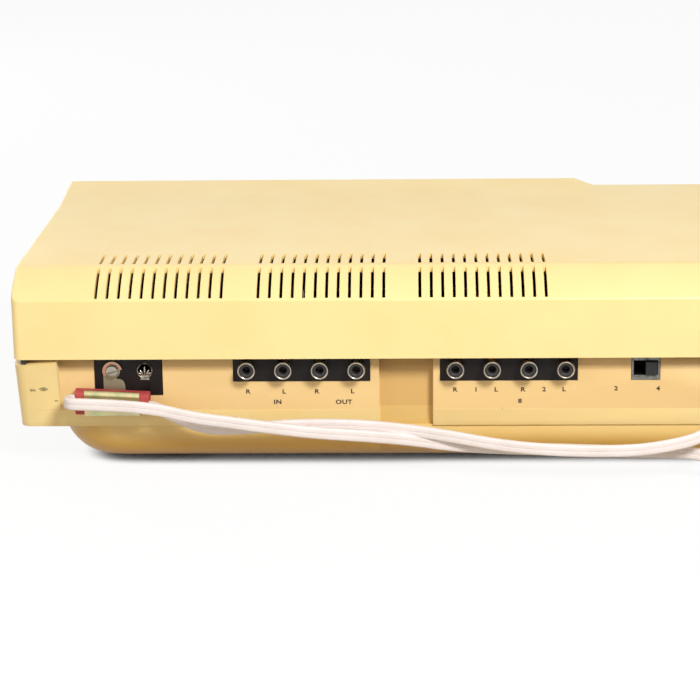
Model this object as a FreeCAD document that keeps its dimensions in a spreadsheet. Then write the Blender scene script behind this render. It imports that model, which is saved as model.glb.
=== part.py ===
"""Compact eight track tape player with tuner, as an assembly of separate pieces.

Millimetres, +Z up, the rear with its sockets faces +Y and the controls face -Y.
The origin is on the table, under the middle of the player.
"""
import FreeCAD, Part
import math
import os
import Sketcher
from FreeCAD import Placement, Rotation, Vector

doc = FreeCAD.newDocument("EightTrackPlayer")
sheet = doc.addObject("Spreadsheet::Sheet", "Sizes")
pieces = {}


# ---------------------------------------------------------------- sizes and formulas

class Size:
    """A number together with the sheet formula that it comes from."""

    def __init__(self, number, formula):
        self.number = float(number)
        self.formula = formula

    def __add__(self, other):
        other = as_size(other)
        return Size(self.number + other.number, f"({self.formula} + {other.formula})")

    def __sub__(self, other):
        other = as_size(other)
        return Size(self.number - other.number, f"({self.formula} - {other.formula})")

    def __mul__(self, other):
        other = as_size(other)
        return Size(self.number * other.number, f"({self.formula} * {other.formula})")

    def __truediv__(self, other):
        other = as_size(other)
        return Size(self.number / other.number, f"({self.formula} / {other.formula})")

    def __neg__(self):
        return self * -1

    def __radd__(self, other):
        return as_size(other) + self

    def __rsub__(self, other):
        return as_size(other) - self

    def __rmul__(self, other):
        return as_size(other) * self


def as_size(value):
    return value if isinstance(value, Size) else Size(value, f"({value})")


def sine(angle):
    return Size(math.sin(math.radians(angle.number)), f"sin({angle.formula})")


def cosine(angle):
    return Size(math.cos(math.radians(angle.number)), f"cos({angle.formula})")


def tangent(angle):
    return Size(math.tan(math.radians(angle.number)), f"tan({angle.formula})")


sheet_rows = []


def cell(alias, number, note):
    """Write one driving dimension into the sheet and give it back as a Size."""
    sheet_rows.append(alias)
    row = len(sheet_rows)
    sheet.set(f"A{row}", note)
    if isinstance(number, Size):
        sheet.set(f"B{row}", "=" + number.formula.replace("Sizes.", ""))
        number = number.number
    else:
        sheet.set(f"B{row}", str(number))
    sheet.setAlias(f"B{row}", alias)
    return Size(number, f"Sizes.{alias}")


# Housing
case_width = cell("case_width", 360, "width of the housing")
half_width = case_width / 2
foot_height = cell("foot_height", 3, "rubber foot below the belly")
belly_height = cell("belly_height", 18, "tub under the wing")
base_wall_height = cell("base_wall_height", 33.6, "wall of the base tray")
part_gap = cell("part_gap", 1.6, "dark gap between base and top shell")
band_height = cell("band_height", 27.6, "upright rear band of the top shell")
shoulder_rise = cell("shoulder_rise", 12.2, "height of the curved shoulder")
shoulder_run = cell("shoulder_run", 20, "depth of the curved shoulder")
shoulder_turn = cell("shoulder_turn", 24, "degrees that the shoulder curves through")
top_depth = cell("top_depth", 198, "rear band to the top front edge")
front_lean = cell("front_lean", 22, "degrees that the front leans back")
rear_slant = cell("rear_slant", 18.7, "degrees that the base's rear wall leans in")
hood_rise = cell("hood_rise", 4, "raised brow above the dial")
hood_end = cell("hood_end", -88.5, "where the brow starts to slope down")
hood_slope = cell("hood_slope", 10, "length of the brow's end slope")
hood_depth = cell("hood_depth", 46, "depth of the brow")
wall = cell("wall", 2.6, "moulded wall")
shell_corner = cell("shell_corner", 4, "upright rear corners of the top shell")
base_corner = cell("base_corner", 5, "upright rear corners of the base")
edge_round = cell("edge_round", 1.6, "soft edge along the top")
belly_inset = cell("belly_inset", 24.5, "side of the belly inside the side wall")
belly_round = cell("belly_round", 14.5, "rounded lower edge of the belly")
belly_corner = cell("belly_corner", 24, "corners of the belly, seen from below")
belly_front = cell("belly_front", top_depth + 2, "rear band to the front of the belly")
belly_rear = cell("belly_rear", 12.5, "rear band to the rear of the belly")
vent_first = cell("vent_first", half_width - 38.1, "first vent group")
vent_second = cell("vent_second", 68.3, "second vent group")
vent_third = cell("vent_third", -4.9, "third vent group")
vent_pitch = cell("vent_pitch", 5.17, "from slot to slot")
vent_slot = cell("vent_slot", 1.4, "width of a vent slot")
vent_low_near = cell("vent_low_near", 0.8, "shoulder slots, rear end")
vent_low_far = cell("vent_low_far", 17.6, "shoulder slots, front end")
vent_high_near = cell("vent_high_near", 20.6, "top slots, rear end")
vent_high_far = cell("vent_high_far", 39.6, "top slots, front end")
vent_bite = cell("vent_bite", 1.8, "how far the slots reach below the ridge")
vent_count = 12
post_radius = cell("post_radius", 4, "screw posts between base and shell")
post_side = cell("post_side", 14, "screw posts inside the side wall")
post_rear = cell("post_rear", 32, "rear band to the rear screw posts")
post_front = cell("post_front", top_depth - 30, "rear band to the front screw posts")
screw_radius = cell("screw_radius", 1.7, "hole for the case screws")
screw_bite = cell("screw_bite", 12, "how far the case screws reach into the shell")
foot_x = cell("foot_x", 111, "rubber feet to either side")
foot_rear = cell("foot_rear", 42, "rear band to the rear feet")
foot_front = cell("foot_front", top_depth - 26, "rear band to the front feet")
foot_radius = cell("foot_radius", 8, "rubber feet")
bumper_wide = cell("bumper_wide", 2.3, "rubber bumpers in the parting gap")
bumper_side = cell("bumper_side", 3.6, "bumpers inside the side wall's face")
bumper_long = cell("bumper_long", 9, "rubber bumpers in the parting gap")
screw_head = cell("screw_head", 2, "head of a case screw")

# Rear face of the base
rear_block = cell("rear_block", 17, "rear band to the inside of the base's rear wall")
panel_recess = cell("panel_recess", 8.5, "depth of the two terminal panels")
panel_left = cell("panel_left", half_width - 19.6, "outer end of the first panel")
panel_middle = cell("panel_middle", 13.2, "inner end of the first panel")
panel_second = cell("panel_second", -11.6, "inner end of the second panel")
panel_right = cell("panel_right", 19.6 - half_width, "outer end of the second panel")
notch_depth = cell("notch_depth", 14.2, "depth of the notch between the panels")
board_thick = cell("board_thick", 1.6, "black terminal boards")
board_drop = cell("board_drop", 11.4, "height of the boards with sockets")
board_fit = cell("board_fit", 0.2, "gap round each board")
antenna_drop = cell("antenna_drop", 17.8, "height of the antenna board")
antenna_width = cell("antenna_width", 31.2, "width of the antenna board")
antenna_mid = cell("antenna_mid", half_width - 51.5, "middle of the antenna board")
inputs_mid = cell("inputs_mid", 48.8, "middle of the input sockets")
speakers_mid = cell("speakers_mid", -46.2, "middle of the speaker sockets")
jack_board_width = cell("jack_board_width", 62.8, "width of a board with four sockets")
jack_pitch = cell("jack_pitch", 16.7, "from socket to socket")
jack_radius = cell("jack_radius", 4.15, "outer radius of a phono socket")
jack_reach = cell("jack_reach", 8, "length of a phono socket outside its board")
jack_below = cell("jack_below", 4.7, "socket axis below the top of the base wall")
switch_mid = cell("switch_mid", 71.3 - half_width, "middle of the speaker switch")
switch_width = cell("switch_width", 13, "face of the speaker switch")
switch_travel = cell("switch_travel", 5, "travel of the speaker switch")
board_lap = cell("board_lap", 2, "seat of a board round its window")
terminal_left = cell("terminal_left", antenna_mid + 7.3, "left antenna screw")
terminal_right = cell("terminal_right", antenna_mid - 7.6, "right antenna screw")
terminal_up = cell("terminal_up", 48.6, "height of the antenna screws")
terminal_shank = cell("terminal_shank", 1.6, "shank of the antenna screws")
terminal_head = cell("terminal_head", 3.2, "head of the antenna screws")
lug_thick = cell("lug_thick", 0.8, "sheet of the coupler's lug")
jack_stub = cell("jack_stub", 3, "rear part of a phono socket, in its board")
jack_hole = cell("jack_hole", 1.7, "hole for the plug's pin")
actuator_wide = cell("actuator_wide", 5.4, "actuator of the speaker switch")
actuator_tall = cell("actuator_tall", 6.4, "actuator of the speaker switch")
switch_deep = cell("switch_deep", 9, "body of the speaker switch")
switch_lap = cell("switch_lap", 1, "seat under the speaker switch's plate")

# Front
rim_side = cell("rim_side", 10, "yellow rim at the sides of the fascia")
rim_low = cell("rim_low", 6, "yellow rim under the fascia, along the slope")
rim_high = cell("rim_high", 5, "yellow rim over the fascia, along the slope")
bezel_sunk = cell("bezel_sunk", 1.5, "fascia behind the front of the rim")
bezel_flange = cell("bezel_flange", 2, "thickness of the fascia's flange")
bezel_fit = cell("bezel_fit", 0.3, "gap between fascia and rim")
door_mid = cell("door_mid", 6, "middle of the cartridge door")
slide_gap = cell("slide_gap", 0.3, "gap round sliding parts")
bay_width = cell("bay_width", 104, "inside width of the cartridge guide")
door_width = cell("door_width", bay_width - 2 * slide_gap, "width of the cartridge door")
door_low = cell("door_low", 9.4, "lower edge of the door, along the slope")
door_high = cell("door_high", 38.7, "upper edge of the door, along the slope")
mouth_low = cell("mouth_low", 8.5, "lower edge of the door's opening, along the slope")
door_gap = cell("door_gap", 0.3, "gap round the door")
door_thick = cell("door_thick", 2.2, "plate of the door")
pin_up = cell("pin_up", 41, "hinge pin of the door, along the slope")
pin_in = cell("pin_in", 7.2, "hinge pin of the door, behind the front")
pin_radius = cell("pin_radius", 1.25, "hinge pin of the door")
pin_fit = cell("pin_fit", 0.06, "running clearance of the hinge pin")
dial_left = cell("dial_left", 95 - half_width, "low end of the dial window")
dial_right = cell("dial_right", half_width - 15, "high end of the dial window")
dial_low = cell("dial_low", 46, "lower edge of the dial window, along the slope")
dial_high = cell("dial_high", 69, "upper edge of the dial window, along the slope")
pane_lap = cell("pane_lap", 1.1, "dial pane behind the fascia's edge")
pane_thick = cell("pane_thick", 1.5, "clear dial pane")
channel_deep = cell("channel_deep", 7.4, "depth of the dial's light channel")
channel_wall = cell("channel_wall", 1, "sheet of the dial's light channel")
pointer_rest = cell("pointer_rest", 40, "dial pointer with the tuning at its middle")
pointer_travel = cell("pointer_travel", 100, "dial pointer's travel to either side")
row_height = cell("row_height", 22.5, "lower row of controls, along the slope")
big_knob = cell("big_knob", 15, "radius of the tuning and volume knobs")
big_knob_tall = cell("big_knob_tall", 14, "height of the tuning and volume knobs")
selector_radius = cell("selector_radius", 12, "radius of the selector knob")
small_knob = cell("small_knob", 7, "radius of the tone and balance knobs")
small_knob_tall = cell("small_knob_tall", 11, "height of the tone and balance knobs")
shaft_radius = cell("shaft_radius", 3, "shafts of the controls")
shaft_fit = cell("shaft_fit", 0.06, "running clearance of the control shafts")
tuning_mid = cell("tuning_mid", half_width - 30, "tuning knob")
volume_mid = cell("volume_mid", 46 - half_width, "volume knob")
volume_up = cell("volume_up", 55.5, "volume knob, along the slope")
selector_mid = cell("selector_mid", 30 - half_width, "selector knob")
tone_room = cell("tone_room", tuning_mid - big_knob - door_mid - bay_width / 2, "from the bay to the tuning knob")
tone_pitch = cell("tone_pitch", tone_room / 3.85, "from tone knob to tone knob")
bass_mid = cell("bass_mid", door_mid + bay_width / 2 + tone_pitch * 1.1, "bass knob")
power_mid = cell("power_mid", 64 - half_width, "power button")
program_mid = cell("program_mid", (power_mid + door_mid - bay_width / 2) / 2 + 1, "program button")
button_up = cell("button_up", 17, "buttons, along the slope")
button_travel = cell("button_travel", 3, "travel of the buttons")
lamp_up = cell("lamp_up", 32, "program lamps, along the slope")
lamp_pitch = cell("lamp_pitch", 12, "from lamp to lamp")
phones_mid = cell("phones_mid", 21 - half_width, "headphone socket")
phones_radius = cell("phones_radius", 3.25, "bore of the headphone socket")
bush_long = cell("bush_long", 7, "bearing bush of the tuning shaft")
lug_wide = cell("lug_wide", 3, "lugs that hold the door's hinge pin")
lug_side = cell("lug_side", 3.4, "lugs of the hinge pin outside the door")
program_half = cell("program_half", 8, "half width of the program button")
power_half = cell("power_half", 6, "half width of the power button")
button_half = cell("button_half", 4.5, "half height of the buttons")
lamp_radius = cell("lamp_radius", 2.4, "program lamps")
phones_barrel = cell("phones_barrel", 4.5, "threaded barrel of the headphone socket")
channel_lap = cell("channel_lap", 2, "channel beyond the dial window")
lamp_long = cell("lamp_long", 18, "dial lamps")
dial_lamp_radius = cell("dial_lamp_radius", 3, "dial lamps")
lamp_clip = cell("lamp_clip", 1, "clips of the dial lamps")
lamp_inset = cell("lamp_inset", 45, "outer dial lamps inside the ends of the dial")
switch_block = cell("switch_block", 8, "push switch behind a button")
switch_leg = cell("switch_leg", 1.2, "legs of the push switches")
guide_slot = cell("guide_slot", 2, "slot that guides the dial pointer")
arm_wide = cell("arm_wide", 5, "arms of the cartridge door")
knob_bore = cell("knob_bore", 9, "depth of the tuning knob's bore")
pot_shaft = cell("pot_shaft", 11, "control shafts behind their knobs")
tuning_long = cell("tuning_long", 30, "tuning shaft behind the front")
phones_long = cell("phones_long", 26, "depth of the headphone socket")
door_clear = cell("door_clear", 15, "guide's roof cut back for the opened door")

# Tape deck
chassis_half = cell("chassis_half", half_width - 23, "half width of the chassis plate")
sheet_thick = cell("sheet_thick", 1.2, "steel sheet of the chassis and the guide")
bay_height = cell("bay_height", 28, "guide floor to guide roof")
bay_floor = cell("bay_floor", 28.2, "upper face of the guide's floor")
bay_outer = cell("bay_outer", top_depth + 6, "rear band to the outer end of the guide")
capstan_x = cell("capstan_x", 42, "capstan")
capstan_deep = cell("capstan_deep", 122, "rear band to the capstan")
bay_inner = cell("bay_inner", capstan_deep + 6, "rear band to the inner end of the guide")
capstan_radius = cell("capstan_radius", 1.5, "capstan shaft")
flywheel_radius = cell("flywheel_radius", 36, "flywheel")
flywheel_thick = cell("flywheel_thick", 10, "flywheel")
motor_x = cell("motor_x", -52, "motor")
motor_deep = cell("motor_deep", capstan_deep - 22, "rear band to the motor")
motor_radius = cell("motor_radius", 18, "motor can")
motor_tall = cell("motor_tall", 33, "motor can")
pulley_radius = cell("pulley_radius", 5, "groove of the motor pulley")
belt_thick = cell("belt_thick", 0.8, "flat drive belt")
belt_wide = cell("belt_wide", 5, "flat drive belt")
head_x = cell("head_x", 4, "tape head")
carriage_deep = cell("carriage_deep", capstan_deep - 8, "rear band to the head carriage's posts")
cam_x = cell("cam_x", -22, "track cam")
cam_deep = cell("cam_deep", carriage_deep - 2, "rear band to the track cam")
cam_radius = cell("cam_radius", 8, "track cam")
cam_step = cell("cam_step", 0.7, "lift of each of the cam's steps")
roller_radius = cell("roller_radius", 6, "roller that holds the cartridge")
roller_deep = cell("roller_deep", bay_outer - 39, "rear band to the cartridge roller")
running_gap = cell("running_gap", 0.05, "radial clearance of the deck's shafts")
gang_x = cell("gang_x", chassis_half - 41, "tuning capacitor")
gang_up = cell("gang_up", 50, "shaft of the tuning capacitor")
vane_radius = cell("vane_radius", 15, "moving vanes of the tuning capacitor")
drum_radius = cell("drum_radius", 24, "dial drum")
thrust_tall = cell("thrust_tall", 3, "thrust bearing under the capstan")
chassis_rear = cell("chassis_rear", 19, "rear band to the rear edge of the chassis")
chassis_front = cell("chassis_front", top_depth + 16, "rear band to the front edge of the chassis")
bearing_radius = cell("bearing_radius", 4.5, "outside of the capstan's bearing")
guide_post_tall = cell("guide_post_tall", 16, "guide posts of the head carriage")
cam_post = cell("cam_post", 2, "radius of the track cam's post")
cam_post_tall = cell("cam_post_tall", 9, "height of the track cam's post")
arm_x = cell("arm_x", -60, "pivot of the cartridge roller's arm")
arm_deep = cell("arm_deep", bay_outer - 16, "rear band to the pivot of the roller's arm")
arm_post_tall = cell("arm_post_tall", 20, "pivot of the cartridge roller's arm")
roller_in = cell("roller_in", 2.2, "roller's reach into the bay")
carriage_pitch = cell("carriage_pitch", 22, "between the head carriage's posts")
capstan_top = cell("capstan_top", 46, "upper end of the capstan")
flywheel_low = cell("flywheel_low", 9.6, "lower face of the flywheel")
belt_gap = cell("belt_gap", 0.25, "belt off the pulley and the flywheel")
carriage_low = cell("carriage_low", 31.5, "lower face of the head carriage")
carriage_thick = cell("carriage_thick", 1.6, "plate of the head carriage")
head_wide = cell("head_wide", 13, "tape head")
head_tall = cell("head_tall", 11, "tape head")
head_deep = cell("head_deep", 9, "tape head")
follower_radius = cell("follower_radius", 1, "pin that rides on the cam")
follower_in = cell("follower_in", 1.5, "pin inside the cam's rim")
cam_gap = cell("cam_gap", 0.5, "pin above the cam's step")
cam_floor = cell("cam_floor", 28, "lowest step of the cam")
solenoid_near = cell("solenoid_near", cam_deep - 36, "rear band to the rear of the solenoid")
solenoid_far = cell("solenoid_far", cam_deep - 15, "rear band to the front of the solenoid")
plunger_up = cell("plunger_up", 32, "axis of the solenoid")
plunger_radius = cell("plunger_radius", 2.5, "plunger of the solenoid")
plunger_travel = cell("plunger_travel", 4, "stroke of the solenoid")
pawl_gap = cell("pawl_gap", 0.6, "pawl off the cam's ratchet")
pawl_thick = cell("pawl_thick", 2, "pawl on the plunger")

# Electronics
board_post = cell("board_post", 8, "posts under the circuit board")
board_low = cell("board_low", 7 - chassis_half, "one end of the main circuit board")
board_high = cell("board_high", chassis_half - 65, "other end of the main circuit board")
board_rear = cell("board_rear", 27, "rear band to the circuit board")
board_front = cell("board_front", solenoid_near - 6, "rear band to the circuit board's front edge")
pcb_thick = cell("pcb_thick", 1.6, "circuit board")
filter_radius = cell("filter_radius", 8.5, "main filter capacitor")
filter_tall = cell("filter_tall", 40, "main filter capacitor")
transistor_half = cell("transistor_half", 4, "half width of the small transistors and coils")
transistor_tall = cell("transistor_tall", 9, "small transistors and coils")
sink_left = cell("sink_left", board_low + 8, "heat sink")
sink_tall = cell("sink_tall", 38, "heat sink")
sink_deep = cell("sink_deep", 18, "heat sink")
sink_back = cell("sink_back", 3, "back of the heat sink, behind its fins")
fin_pitch = cell("fin_pitch", 7, "fins of the heat sink")
fin_thick = cell("fin_thick", 2, "fins of the heat sink")
transformer_x = cell("transformer_x", chassis_half - 29, "power transformer")
core_wide = cell("core_wide", 50, "transformer core")
core_tall = cell("core_tall", 42, "transformer core")
core_thick = cell("core_thick", 24, "transformer core")
core_rear = cell("core_rear", 36, "rear band to the transformer core")
bobbin_half = cell("bobbin_half", 16, "half width of the transformer's winding")
bobbin_bulge = cell("bobbin_bulge", 9, "winding outside the core")
bobbin_tall = cell("bobbin_tall", 26, "transformer's winding")
gang_front = cell("gang_front", top_depth - 26, "rear band to the front plate of the gang")
gang_rear = cell("gang_rear", gang_front - 36, "rear band to the rear plate of the gang")
vane_pitch = cell("vane_pitch", 6, "from moving vane to moving vane")
vane_thick = cell("vane_thick", 1.2, "vanes of the tuning capacitor")
vane_count = 5

# Line cord
cord_width = cell("cord_width", 5.6, "flat line cord, its wide way")
sleeve_long = cell("sleeve_long", 25.2, "metal coupler sleeve round the cord")
sleeve_tall = cell("sleeve_tall", 11.3, "metal coupler sleeve round the cord")
sleeve_deep = cell("sleeve_deep", 9, "metal coupler sleeve round the cord")
liner_long = cell("liner_long", 34, "fibre liner inside the sleeve")
liner_wall = cell("liner_wall", 0.8, "metal of the sleeve round the liner")
sleeve_mid = cell("sleeve_mid", antenna_mid + 6.3, "middle of the coupler sleeve")
sleeve_up = cell("sleeve_up", 34.6, "axis of the coupler sleeve")
sleeve_round = cell("sleeve_round", 3, "rounded edges of the coupler sleeve")
relief_x = cell("relief_x", 33 - half_width, "strain relief of the line cord")
relief_up = cell("relief_up", 37, "strain relief of the line cord")
relief_reach = cell("relief_reach", 7, "strain relief outside the panel")
relief_radius = cell("relief_radius", 5.6, "strain relief of the line cord")
coil_outer = cell("coil_outer", 38, "outer radius of the coiled cord")
coil_inner = cell("coil_inner", 23, "inner radius of the coiled cord")
coil_tall = cell("coil_tall", 15, "height of the coiled cord")
plug_long = cell("plug_long", 24, "moulded plug")
plug_half = cell("plug_half", 8, "half width of the moulded plug")
plug_tall = cell("plug_tall", 10, "moulded plug")
pin_long = cell("pin_long", 16, "flat pins of the plug")
pin_spread = cell("pin_spread", 6.4, "middle of the plug to a pin")
pin_thick = cell("pin_thick", 1.6, "flat pins of the plug")

# Heights that follow from the sheet
wing_low = foot_height + belly_height
base_top = wing_low + base_wall_height
shell_low = base_top + part_gap
ridge = shell_low + band_height
top = ridge + shoulder_rise
hood_top = top + hood_rise
wing_floor = wing_low + wall
chassis_top = wing_floor + sheet_thick
lean_sine = sine(front_lean)
lean_cosine = cosine(front_lean)
lean_tangent = tangent(front_lean)
front_foot = top_depth + (top - wing_low) * lean_tangent
knob_base = Size(1, "(1)")
knob_nose = big_knob_tall - knob_base

bay_left = door_mid - bay_width / 2
bay_right = door_mid + bay_width / 2

# The origin is half way between the rearmost sleeve and the foremost knob.
sleeve_back = panel_recess - lug_thick
rear_reach = sleeve_deep - sleeve_back
front_reach = front_foot - (row_height - big_knob) * lean_sine + knob_nose * lean_cosine
rear_y = (front_reach - rear_reach) / 2


def from_rear(depth):
    """The y of a place that lies this far in front of the rear band."""
    return rear_y - depth


def front_at(height):
    """How far in front of the rear band the leaning front is at this height."""
    return top_depth + (top - height) * lean_tangent


def on_front(x, inward, up):
    """A place given across, into and up along the leaning front."""
    y = from_rear(front_foot) + inward * lean_cosine + up * lean_sine
    z = wing_low - inward * lean_sine + up * lean_cosine
    return x, y, z


# ---------------------------------------------------------------- how solids are made

def bind(target, name, value):
    target.setExpression(name, as_size(value).formula)


def move(thing, x, y, z):
    for axis, value in zip("xyz", (x, y, z)):
        bind(thing, "Placement.Base." + axis, value)
    return thing


def lean(thing, x=0, inward=0, up=0):
    """Put a thing modelled as across, inward and up onto the leaning front."""
    thing.Placement = Placement(Vector(), Rotation(Vector(-1, 0, 0), front_lean.number))
    move(thing, *on_front(as_size(x), as_size(inward), as_size(up)))
    bind(thing, "Placement.Rotation.Angle", front_lean)
    return thing


def box(x, y, z):
    """A block between two places along each axis, given in either order."""
    solid = doc.addObject("Part::Box", "Block")
    for side, axis, ends in zip(("Length", "Width", "Height"), "xyz", (x, y, z)):
        low, high = sorted((as_size(end) for end in ends), key=lambda end: end.number)
        bind(solid, side, high - low)
        bind(solid, "Placement.Base." + axis, low)
    return solid


TURNS = {
    "x": Rotation(Vector(0, 1, 0), 90),
    "y": Rotation(Vector(1, 0, 0), -90),
    "z": Rotation(),
}


def rod(axis, start, radius, length):
    """A cylinder that runs from its start along +x, +y or +z."""
    solid = doc.addObject("Part::Cylinder", "Rod")
    solid.Placement = Placement(Vector(), TURNS[axis])
    bind(solid, "Radius", radius)
    bind(solid, "Height", length)
    return move(solid, *start)


def fuse(solids):
    if len(solids) == 1:
        return solids[0]
    union = doc.addObject("Part::MultiFuse", "Union")
    union.Shapes = solids
    union.Refine = True
    return union


def cut(base, tools):
    remainder = doc.addObject("Part::Cut", "Remainder")
    remainder.Base = base
    remainder.Tool = fuse(tools)
    remainder.Refine = True
    return remainder


def piece(name, thing):
    """Name a finished sub-part: its label becomes the name of its file."""
    thing.Label = name
    pieces[name] = thing
    return thing


def new_body():
    return doc.addObject("PartDesign::Body", "Body")


def sketch_on(body, plane, place=0):
    """A sketch on one of the body's own planes, moved along that plane's axis."""
    sketch = body.newObject("Sketcher::SketchObject", "Sketch")
    role = plane + "_Plane"
    origin = next(item for item in body.Origin.OriginFeatures if item.Role == role)
    sketch.AttachmentSupport = (origin, [""])
    sketch.MapMode = "FlatFace"
    place = as_size(place)
    bind(sketch, "AttachmentOffset.Base.z", -place if plane == "XZ" else place)
    sketch.Label2 = plane
    return sketch


def hold(sketch, kind, *where):
    """Add a constraint whose value follows the sheet."""
    *where, value = where
    index = sketch.addConstraint(Sketcher.Constraint(kind, *where, value.number))
    sketch.setExpression(f"Constraints[{index}]", value.formula)


def hold_point(sketch, item, end, corner):
    hold(sketch, "DistanceX", -1, 1, item, end, corner[0])
    hold(sketch, "DistanceY", -1, 1, item, end, corner[1])


def arc_between(start, end, radius):
    """The shorter arc between two points; a positive radius bulges to the path's right."""
    chord = end - start
    left = Vector(-chord.y, chord.x, 0).normalize()
    depth = math.sqrt(radius ** 2 - (chord.Length / 2) ** 2)
    centre = (start + end) * 0.5 + left * math.copysign(depth, radius)
    first, last = (start, end) if radius > 0 else (end, start)
    angles = [math.atan2(spot.y - centre.y, spot.x - centre.x) for spot in (first, last)]
    if angles[1] < angles[0]:
        angles[1] += 2 * math.pi
    return Part.ArcOfCircle(Part.Circle(centre, Vector(0, 0, 1), abs(radius)), *angles)


def outline(sketch, corners):
    """Close a path through (x, y) corners; a third value is the radius of the arc before it."""
    corners = [tuple(as_size(value) for value in corner) for corner in corners]
    ends = []
    for index, corner in enumerate(corners):
        start = Vector(corners[index - 1][0].number, corners[index - 1][1].number)
        end = Vector(corner[0].number, corner[1].number)
        if len(corner) == 2:
            item = sketch.addGeometry(Part.LineSegment(start, end), False)
            ends.append((item, 1, 2))
            continue
        radius = corner[2]
        item = sketch.addGeometry(arc_between(start, end, radius.number), False)
        ends.append((item, 1, 2) if radius.number > 0 else (item, 2, 1))
        hold(sketch, "Radius", item, radius if radius.number > 0 else -radius)
    for index, (item, first, last) in enumerate(ends):
        previous = ends[index - 1]
        sketch.addConstraint(Sketcher.Constraint("Coincident", previous[0], previous[2], item, first))
        hold_point(sketch, item, last, corners[index])


def rectangle(sketch, x, y):
    outline(sketch, [(x[0], y[0]), (x[1], y[0]), (x[1], y[1]), (x[0], y[1])])


def rounded_rectangle(sketch, x, y, radius):
    """A rectangle whose low ends come first, with round corners."""
    outline(sketch, [
        (x[0] + radius, y[0], radius), (x[1] - radius, y[0]),
        (x[1], y[0] + radius, radius), (x[1], y[1] - radius),
        (x[1] - radius, y[1], radius), (x[0] + radius, y[1]),
        (x[0], y[1] - radius, radius), (x[0], y[0] + radius),
    ])


def circle(sketch, x, y, radius):
    centre = (as_size(x), as_size(y))
    radius = as_size(radius)
    spot = Vector(centre[0].number, centre[1].number)
    item = sketch.addGeometry(Part.Circle(spot, Vector(0, 0, 1), radius.number), False)
    hold_point(sketch, item, 3, centre)
    hold(sketch, "Radius", item, radius)


def extrude(body, kind, sketch, length, way):
    """Pad or pocket a sketch: way is + or - along the plane's axis, or both."""
    before = body.Shape.Volume if kind == "Pocket" else 0
    feature = body.newObject("PartDesign::" + kind, kind)
    feature.Profile = sketch
    bind(feature, "Length", length)
    if way == "both":
        feature.SideType = "Symmetric"
    else:
        against = (way == "-") != (sketch.Label2 == "XZ")
        feature.Reversed = against if kind == "Pad" else not against
    doc.recompute()
    if kind == "Pocket" and feature.Shape.Volume > before - 1e-3:
        raise RuntimeError(f"a pocket of {body.Name} cuts nothing")
    return feature


def pad(body, sketch, length, way="both"):
    return extrude(body, "Pad", sketch, length, way)


def pocket(body, sketch, length, way="both"):
    return extrude(body, "Pocket", sketch, length, way)


def body_axis(body, axis):
    return next(item for item in body.Origin.OriginFeatures if item.Role == axis + "_Axis")


def revolve(body, sketch, axis):
    """Turn a sketch fully round one of the body's own axes."""
    feature = body.newObject("PartDesign::Revolution", "Revolution")
    feature.Profile = sketch
    feature.ReferenceAxis = (body_axis(body, axis), [""])
    feature.Angle = 360
    doc.recompute()
    return feature


def repeat_along(body, feature, axis, length, count):
    """Repeat a feature towards the low end of an axis."""
    pattern = body.newObject("PartDesign::LinearPattern", "LinearPattern")
    pattern.Originals = [feature]
    pattern.Direction = (body_axis(body, axis), [""])
    pattern.Reversed = True
    bind(pattern, "Length", length)
    pattern.Occurrences = count
    body.Tip = pattern
    doc.recompute()
    return pattern


def repeat_round(body, feature, axis, count):
    pattern = body.newObject("PartDesign::PolarPattern", "PolarPattern")
    pattern.Originals = [feature]
    pattern.Axis = (body_axis(body, axis), [""])
    pattern.Angle = 360
    pattern.Occurrences = count
    body.Tip = pattern
    doc.recompute()
    return pattern


def soften(body, radius, chosen, kind="Fillet"):
    """Fillet or chamfer the edges that the chosen test accepts."""
    doc.recompute()
    base = body.Tip
    edges = base.Shape.Edges
    names = [f"Edge{number}" for number, edge in enumerate(edges, 1) if chosen(edge)]
    if not names:
        raise RuntimeError(f"no edge of {body.Name} to soften")
    feature = body.newObject("PartDesign::" + kind, kind)
    feature.Base = (base, names)
    bind(feature, "Radius" if kind == "Fillet" else "Size", radius)
    doc.recompute()
    return feature


def is_at(value, size, slack=0.01):
    return abs(value - as_size(size).number) < slack


def runs_along(edge, axis):
    """Whether a straight edge runs along x, y or z."""
    box_of = edge.BoundBox
    spans = {"x": box_of.XLength, "y": box_of.YLength, "z": box_of.ZLength}
    longest = spans.pop(axis)
    return longest > 0.5 and max(spans.values()) < 1e-4


# ---------------------------------------------------------------- housing

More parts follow.
